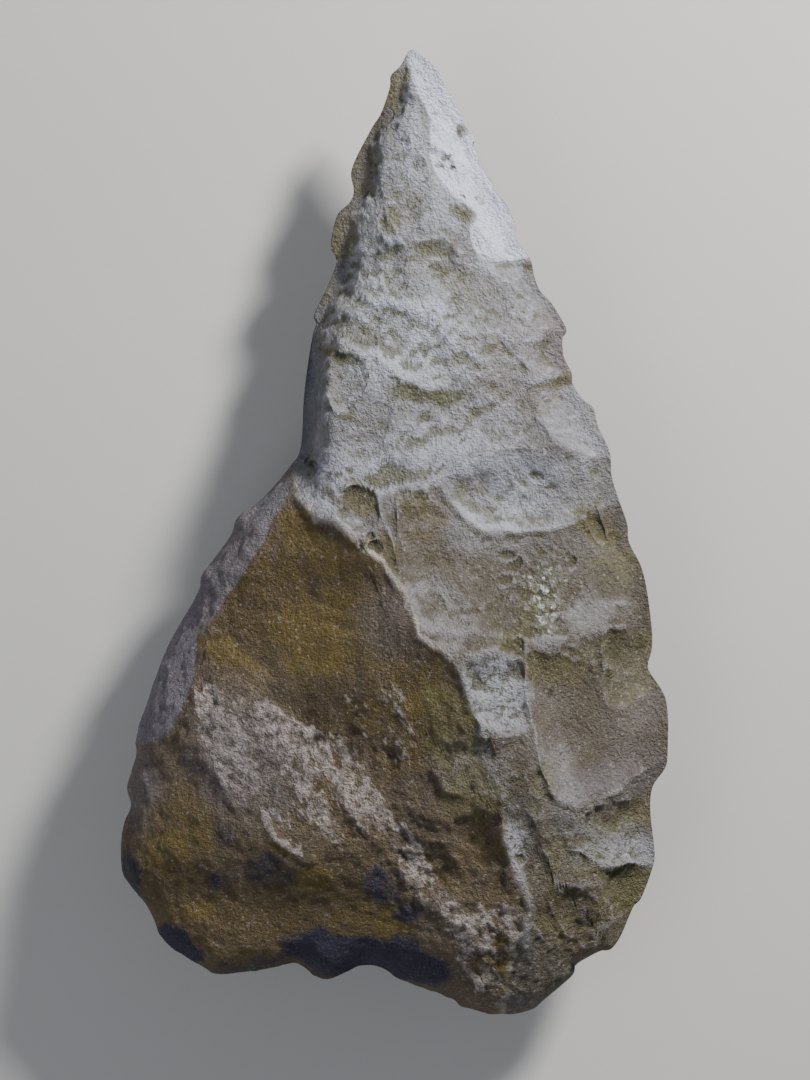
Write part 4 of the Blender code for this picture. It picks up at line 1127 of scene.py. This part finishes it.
def knapped_stone():
    """The whole stone as one mesh, its places' tints, wear, painted shade and highlight kept as attributes."""
    mesh = bpy.data.meshes.new("knapped_stone")
    bm = stone_ball()
    bm.to_mesh(mesh)
    bm.free()
    ball = np.empty(len(mesh.vertices) * 3)
    mesh.vertices.foreach_get("co", ball)
    ball = ball.reshape(-1, 3)

    drawing = Drawing()
    x, y = placed(drawing, ball)
    upper, under = ball[:, 2] > IN_PLANE, ball[:, 2] < -IN_PLANE
    shown = ~under
    distance = drawing.to_edge(x, y)
    z = stone_height(drawing, x, y, distance, upper, under)
    standing = np.abs(z - edge_height(x, y))
    z = np.maximum(z, -UNDER_DROP) + UNDER_DROP
    rests = z < IN_PLANE
    body = np.stack([*drawing.plan(x, y), z], axis=1)
    move_to(mesh, body)

    tint_x, tint_y = drifted(x, y, *TINT_DRIFTS)
    gap, side, _ = to_line(CREST, *drifted(x, y, CREST_DRIFT))
    crust = crust_cover(tint_y, gap, side, shown)
    coarse = np.where(shown, painted(tint_x, tint_y, USUAL_COARSENESS, COARSE), UNDER_COARSENESS)

    hummocks, grain = ridged(body, *HUMMOCKS), ridged(body, *GRAIN)
    relief = hummocks * (HUMMOCK_RISE[0] + HUMMOCK_RISE[1] * coarse)
    relief += grain * (GRAIN_RISE[0] + GRAIN_RISE[1] * coarse)
    rows = tint_y * BOWL_ROWS[0] + tint_x * BOWL_ROWS[1]
    for size, depth, seed in BOWLS:
        bowls = scooped(tint_x, rows, size, seed) - BOWL_LEVEL
        relief += depth * (BOWLS_ON_SMOOTH + coarse) * (1 - BOWLS_OFF_CRUST * crust) * bowls
    rough = streaked(drawing, x, y, z, crust, shown)
    relief += rough * (STREAK_RISE + STREAK_GRAIN * grain)
    for line in CRACKS:
        apart, _, _ = to_line(line, tint_x, tint_y)
        relief -= np.where(upper, CRACK_DEPTH * np.clip(1 - apart / CRACK_REACH, 0, 1), 0)
    relief = np.clip(relief, -MOST_RELIEF * standing, MOST_RELIEF * standing + SPARE_RELIEF)
    relief[rests] = 0
    body += normals_of(mesh) * relief[:, None]
    body[:, 2] = np.maximum(body[:, 2], 0)
    move_to(mesh, body)

    kept = {"crust": crust, "coarse": coarse, "rough": rough, "rim": crest_highlight_and_wear(gap, tint_y, grain, shown)}
    kept.update(hollow_parts(mesh, body, distance))
    kept.update(tint_values(x, y, tint_x, tint_y, distance, shown))
    for name, values in kept.items():
        attribute = mesh.attributes.new(name, "FLOAT", "POINT")
        attribute.data.foreach_set("value", np.asarray(values, np.float32))
    mesh.shade_smooth()
    return added("knapped_stone", mesh)


class Value:
    """A number in a material that Python's own signs can reckon with."""

    def __init__(self, finish, socket):
        self.finish, self.socket = finish, socket

    def sum(self, kind, *others):
        """What that kind of sum makes of the number and the others."""
        node = self.finish.node("Math", {"operation": kind}, {i: v for i, v in enumerate((self, *others))})
        return Value(self.finish, node.outputs[0])

    def __add__(self, other):
        return self.sum("ADD", other)

    __radd__ = __add__

    def __mul__(self, other):
        return self.sum("MULTIPLY", other)

    __rmul__ = __mul__

    def __sub__(self, other):
        return self.sum("SUBTRACT", other)

    def __rsub__(self, other):
        return self * -1 + other

    def held(self):
        """The same number, kept from 0 to 1."""
        node = self.finish.node("Clamp", {}, {"Value": self})
        return Value(self.finish, node.outputs[0])

    def between(self, low, high):
        """How far the number is on its way from low to high, eased at both ends."""
        limits = {"Value": self, "From Min": low, "From Max": high}
        node = self.finish.node("MapRange", {"interpolation_type": "SMOOTHSTEP"}, limits)
        return Value(self.finish, node.outputs[0])

    def varied(self, least, swing, by):
        """The number, weakened where the other value is low and strengthened where it is high."""
        return (self * (least + swing * by)).held()


class Finish:
    """A material that is put together from nodes."""

    def __init__(self, name):
        self.material = bpy.data.materials.new(name)
        self.material.use_nodes = True
        self.tree = self.material.node_tree
        self.shader = self.tree.nodes["Principled BSDF"]

    def node(self, kind, settings, inputs):
        """A new node with these settings, fed with these values."""
        made = self.tree.nodes.new("ShaderNode" + kind)
        for name, value in settings.items():
            setattr(made, name, value)
        for name, value in inputs.items():
            self.feed(made.inputs[name], value)
        return made

    def feed(self, socket, value):
        """Links the socket to the value, or sets it where the value is a plain one."""
        source = getattr(value, "socket", value)
        if isinstance(source, bpy.types.NodeSocket):
            self.tree.links.new(source, socket)
        else:
            socket.default_value = value

    def kept(self, name):
        """A value that the mesh keeps for each of its corners."""
        node = self.node("Attribute", {"attribute_name": name, "attribute_type": "GEOMETRY"}, {})
        return Value(self, node.outputs["Fac"])

    def patchy(self, name, noise, spread=1.5, soft=0.24):
        """A kept value that the noise breaks into patches."""
        return (self.kept(name) + (noise - 0.5) * spread).between(0.5 - soft, 0.5 + soft)

    def place(self):
        """Where a point of the object is, in metres."""
        return self.node("TexCoord", {}, {}).outputs["Object"]

    def cloud(self, size, detail=3.0, rough=0.55, stretch=(1, 1, 1), turn=0.0):
        """Soft noise from 0 to 1, whose lumps are about that size in metres."""
        turned = self.node(
            "Mapping",
            {"vector_type": "TEXTURE"},
            {"Vector": self.place(), "Rotation": (0, 0, math.radians(turn)), "Scale": stretch},
        )
        node = self.node(
            "TexNoise",
            {"noise_dimensions": "3D"},
            {"Vector": turned.outputs[0], "Scale": 1 / size, "Detail": detail, "Roughness": rough},
        )
        return Value(self, node.outputs["Fac"])

    def cells(self, size):
        """The distance to the nearest of many scattered points, from 0 up."""
        node = self.node("TexVoronoi", {"feature": "F1"}, {"Vector": self.place(), "Scale": 1 / size})
        return Value(self, node.outputs["Distance"])

    def colour(self, factor, first, second):
        """A colour on its way from the first to the second."""
        return self.node("Mix", {"data_type": "RGBA"}, {0: factor, 6: first, 7: second}).outputs[2]

    def layered(self, under, *layers):
        """A colour with layers over it, each of which is how far it covers and its own colour."""
        for cover, colour in layers:
            under = self.colour(cover, under, colour)
        return under


def rgb(red, green, blue):
    """A colour as it looks on a screen, from 0 to 255, as the shader wants it."""
    return (*(((v / 255 + 0.055) / 1.055) ** 2.4 if v > 10 else v / 3294.6 for v in (red, green, blue)), 1.0)


def weathered_finish():
    """Pale patina on the flaked face, brown crust on the cobble, stains, dirt, wear, painted shade and
    highlight.
    """
    f = Finish("weathered_stone")
    crust, coarse, pale, stain = f.kept("crust"), f.kept("coarse"), f.kept("pale"), f.kept("stain")
    hollow, sunken, crystal = f.kept("hollow"), f.kept("sunken"), f.kept("crystal")
    broad, middle, fine = f.cloud(0.022, 4.0), f.cloud(0.0065, 5.0), f.cloud(0.0016, 4.0, 0.65)
    speck = f.cloud(0.0007, 2.0, 0.6)
    breaks = middle * 0.65 + fine * 0.35
    wide, small = broad.between(0.35, 0.65), middle.between(0.45, 0.75)

    # Where a place is flaked: bare flint below and patina above, then what breaks them up
    dusky = f.layered(rgb(100, 92, 82), (wide, rgb(90, 82, 69)), (small * 0.6, rgb(114, 109, 104)))
    patina = f.layered(rgb(152, 152, 158), (wide, rgb(140, 138, 136)), (small * 0.5, rgb(168, 169, 180)))
    flint = f.layered(
        dusky,
        (pale.varied(0.75, 0.5, middle), patina),
        (breaks.between(0.48, 0.38) * 0.22, f.colour(pale, rgb(82, 76, 62), rgb(122, 119, 106))),
        (f.patchy("white", breaks, 0.8, 0.55), f.colour(pale, rgb(152, 150, 152), rgb(221, 225, 242))),
        (f.kept("rose").varied(0.1, 0.8, fine), f.colour(pale, rgb(120, 104, 96), rgb(166, 149, 151))),
    )

    # The cobble's crust
    gritty = f.cloud(0.0010, 4.0, 0.6, (1.7, 1.0, 1.0), -STREAK_FALL)
    rough = (f.kept("rough") + (gritty - 0.5) * 2.8).between(0.25, 0.85) * f.kept("rough").between(0.0, 0.3)
    umber = f.patchy("umber", breaks)
    brown = f.layered(
        rgb(109, 94, 67),
        (wide, rgb(107, 94, 81)),
        (breaks.between(0.47, 0.60) * 0.7, rgb(122, 107, 84)),
        (breaks.between(0.46, 0.36) * 0.6, rgb(78, 68, 56)),
        (umber * 0.8, rgb(86, 72, 46)),
        (f.patchy("ochre", breaks) * 0.85, rgb(112, 96, 53)),
        (rough, f.colour(fine.between(0.35, 0.65), rgb(140, 126, 114), rgb(202, 191, 187))),
    )

    # Both, with stains, crystals, painted shade and dirt in the hollows, wear and painted highlight on what
    # stands out, and specks
    shards = f.cells(0.0016).between(0.62, 0.30) * f.cloud(0.0011, 2.0).between(0.46, 0.56)
    # The colour that darkens the hollows: partly dirt, partly painted shade
    dirt_and_shade = f.colour(crust, f.colour(pale, rgb(84, 78, 58), rgb(108, 107, 80)), rgb(77, 65, 49))
    # The colour of what stands out: partly wear, partly painted highlight
    wear_and_highlight = f.colour(crust, f.colour(pale, rgb(150, 147, 148), rgb(198, 200, 212)), rgb(166, 153, 148))
    # How much of that painted shade and dirt shows: less on the crust
    shade_and_dirt_share = 1 - crust * 0.45
    highlight_and_wear_share = (0.15 + rough).held() * crust + (1 - crust)
    skin = f.layered(
        flint,
        (crust, brown),
        (umber * (1 - crust) * 0.8, rgb(108, 97, 74)),
        # Olive: partly the stone's own tone, partly painted shade under ridges
        (f.patchy("olive_and_shade", breaks) * 0.60, rgb(112, 106, 66)),
        # Painted shade: dark spots under ridges and on the shaded sides of scars
        (f.kept("painted_shade").varied(0.35, 0.8, middle), rgb(76, 70, 44)),
        (f.kept("lilac").varied(0.2, 1.1, fine), rgb(130, 126, 139)),
        (f.kept("slate"), f.colour(fine, rgb(96, 100, 108), rgb(112, 114, 120))),
        (f.patchy("stain", breaks) * 0.9, rgb(50, 51, 74)),
        (crystal * 0.6, rgb(112, 112, 84)),
        (crystal * shards, rgb(232, 236, 236)),
        # Painted highlight along the crest, partly wear
        (f.kept("rim").varied(0.1, 1.3, middle), rgb(204, 194, 184)),
        # Painted shade in small hollows, partly dirt
        (hollow.between(0.52, 0.85).varied(0.45, 0.5, middle) * shade_and_dirt_share, dirt_and_shade),
        # Painted highlight on what stands out, partly wear
        (hollow.between(0.45, 0.05).varied(0.30, 0.6, middle) * highlight_and_wear_share, wear_and_highlight),
        # Painted shade in broad hollows, in the colour of the dirt
        (sunken.between(0.55, 0.95).varied(0.0, 0.5, middle) * shade_and_dirt_share, dirt_and_shade),
        (speck.between(0.56, 0.74) * 0.33, rgb(40, 36, 32)),
        (speck.between(0.42, 0.26) * (0.225 - 0.175 * stain), rgb(228, 226, 230)),
    )

    # The finest relief, in the light only
    grain = f.cloud(0.00058, 3.0, 0.6)
    height = fine * 0.36 + grain * 0.80 + f.cloud(0.0003, 2.0, 0.6) * 0.40
    height = height * (0.85 + 0.75 * coarse + 0.5 * rough) + f.cells(0.0011) * 0.35 * coarse
    streaks = f.cloud(0.0021, 4.0, 0.62, (2.2, 1.0, 1.0), -STREAK_FALL)
    height = height + shards * crystal * 0.6 + streaks * (1 - crust) * (0.95 + 0.35 * pale)
    bump = f.node("Bump", {}, {"Height": height, "Strength": 1.0, "Distance": 0.00100})
    f.feed(f.shader.inputs["Base Color"], skin)
    f.feed(f.shader.inputs["Roughness"], (0.62 + 0.25 * fine + 0.12 * crust).held())
    f.feed(f.shader.inputs["Normal"], bump.outputs[0])
    f.shader.inputs["Specular IOR Level"].default_value = 0.35
    return f.material


def pale_floor():
    """A plain floor just below the stone."""
    f = Finish("pale_floor")
    mottle = f.cloud(0.05, 3.0)
    f.feed(f.shader.inputs["Base Color"], f.colour(mottle, rgb(206, 204, 200), rgb(212, 210, 207)))
    f.shader.inputs["Roughness"].default_value = 0.9
    mesh = bpy.data.meshes.new("pale_floor")
    bm = bmesh.new()
    bmesh.ops.create_grid(bm, x_segments=1, y_segments=1, size=FLOOR_SIZE)
    bm.to_mesh(mesh)
    bm.free()
    mesh.materials.append(f.material)
    floor = added("pale_floor", mesh)
    floor.location.z = -FLOOR_DROP
    return floor


def soft_light(name, bearing, height, away, size, power, colour):
    """A square lamp that looks at the stone, by its bearing from +X and its height in degrees."""
    lamp = bpy.data.lights.new(name, "AREA")
    lamp.size, lamp.energy, lamp.color = size, power, colour
    a, e = math.radians(bearing), math.radians(height)
    toward = Vector((math.cos(a) * math.cos(e), math.sin(a) * math.cos(e), math.sin(e)))
    stand = added(name, lamp)
    stand.location = toward * away
    stand.rotation_euler = toward.to_track_quat("Z", "Y").to_euler()


def studio():
    """A hard key light from the upper right, a soft fill from the other side, and a dim room."""
    for name, lamp in LAMPS.items():
        soft_light(name, *lamp)
    world = bpy.data.worlds.new("studio")
    bpy.context.scene.world = world
    world.use_nodes = True
    world.node_tree.nodes["Background"].inputs["Color"].default_value = ROOM_COLOUR
    world.node_tree.nodes["Background"].inputs["Strength"].default_value = ROOM_STRENGTH


def overhead_camera():
    """Straight above the stone, framed as the photograph is."""
    unit = LENGTH / STONE_HIGH
    camera = added("camera", bpy.data.cameras.new("camera"))
    camera.data.lens, camera.data.sensor_width = LENS, FILM_HIGH
    camera.location = (
        (PHOTO_MIDDLE[0] - STONE_MIDDLE[0]) * unit,
        (STONE_MIDDLE[1] - PHOTO_MIDDLE[1]) * unit,
        UNDER_DROP + PHOTO_HIGH * unit * LENS / FILM_HIGH,
    )
    bpy.context.scene.camera = camera


stone = knapped_stone()
stone.data.materials.append(weathered_finish())
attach(stone, "root")
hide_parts("hand_axe")
pale_floor()
studio()
overhead_camera()
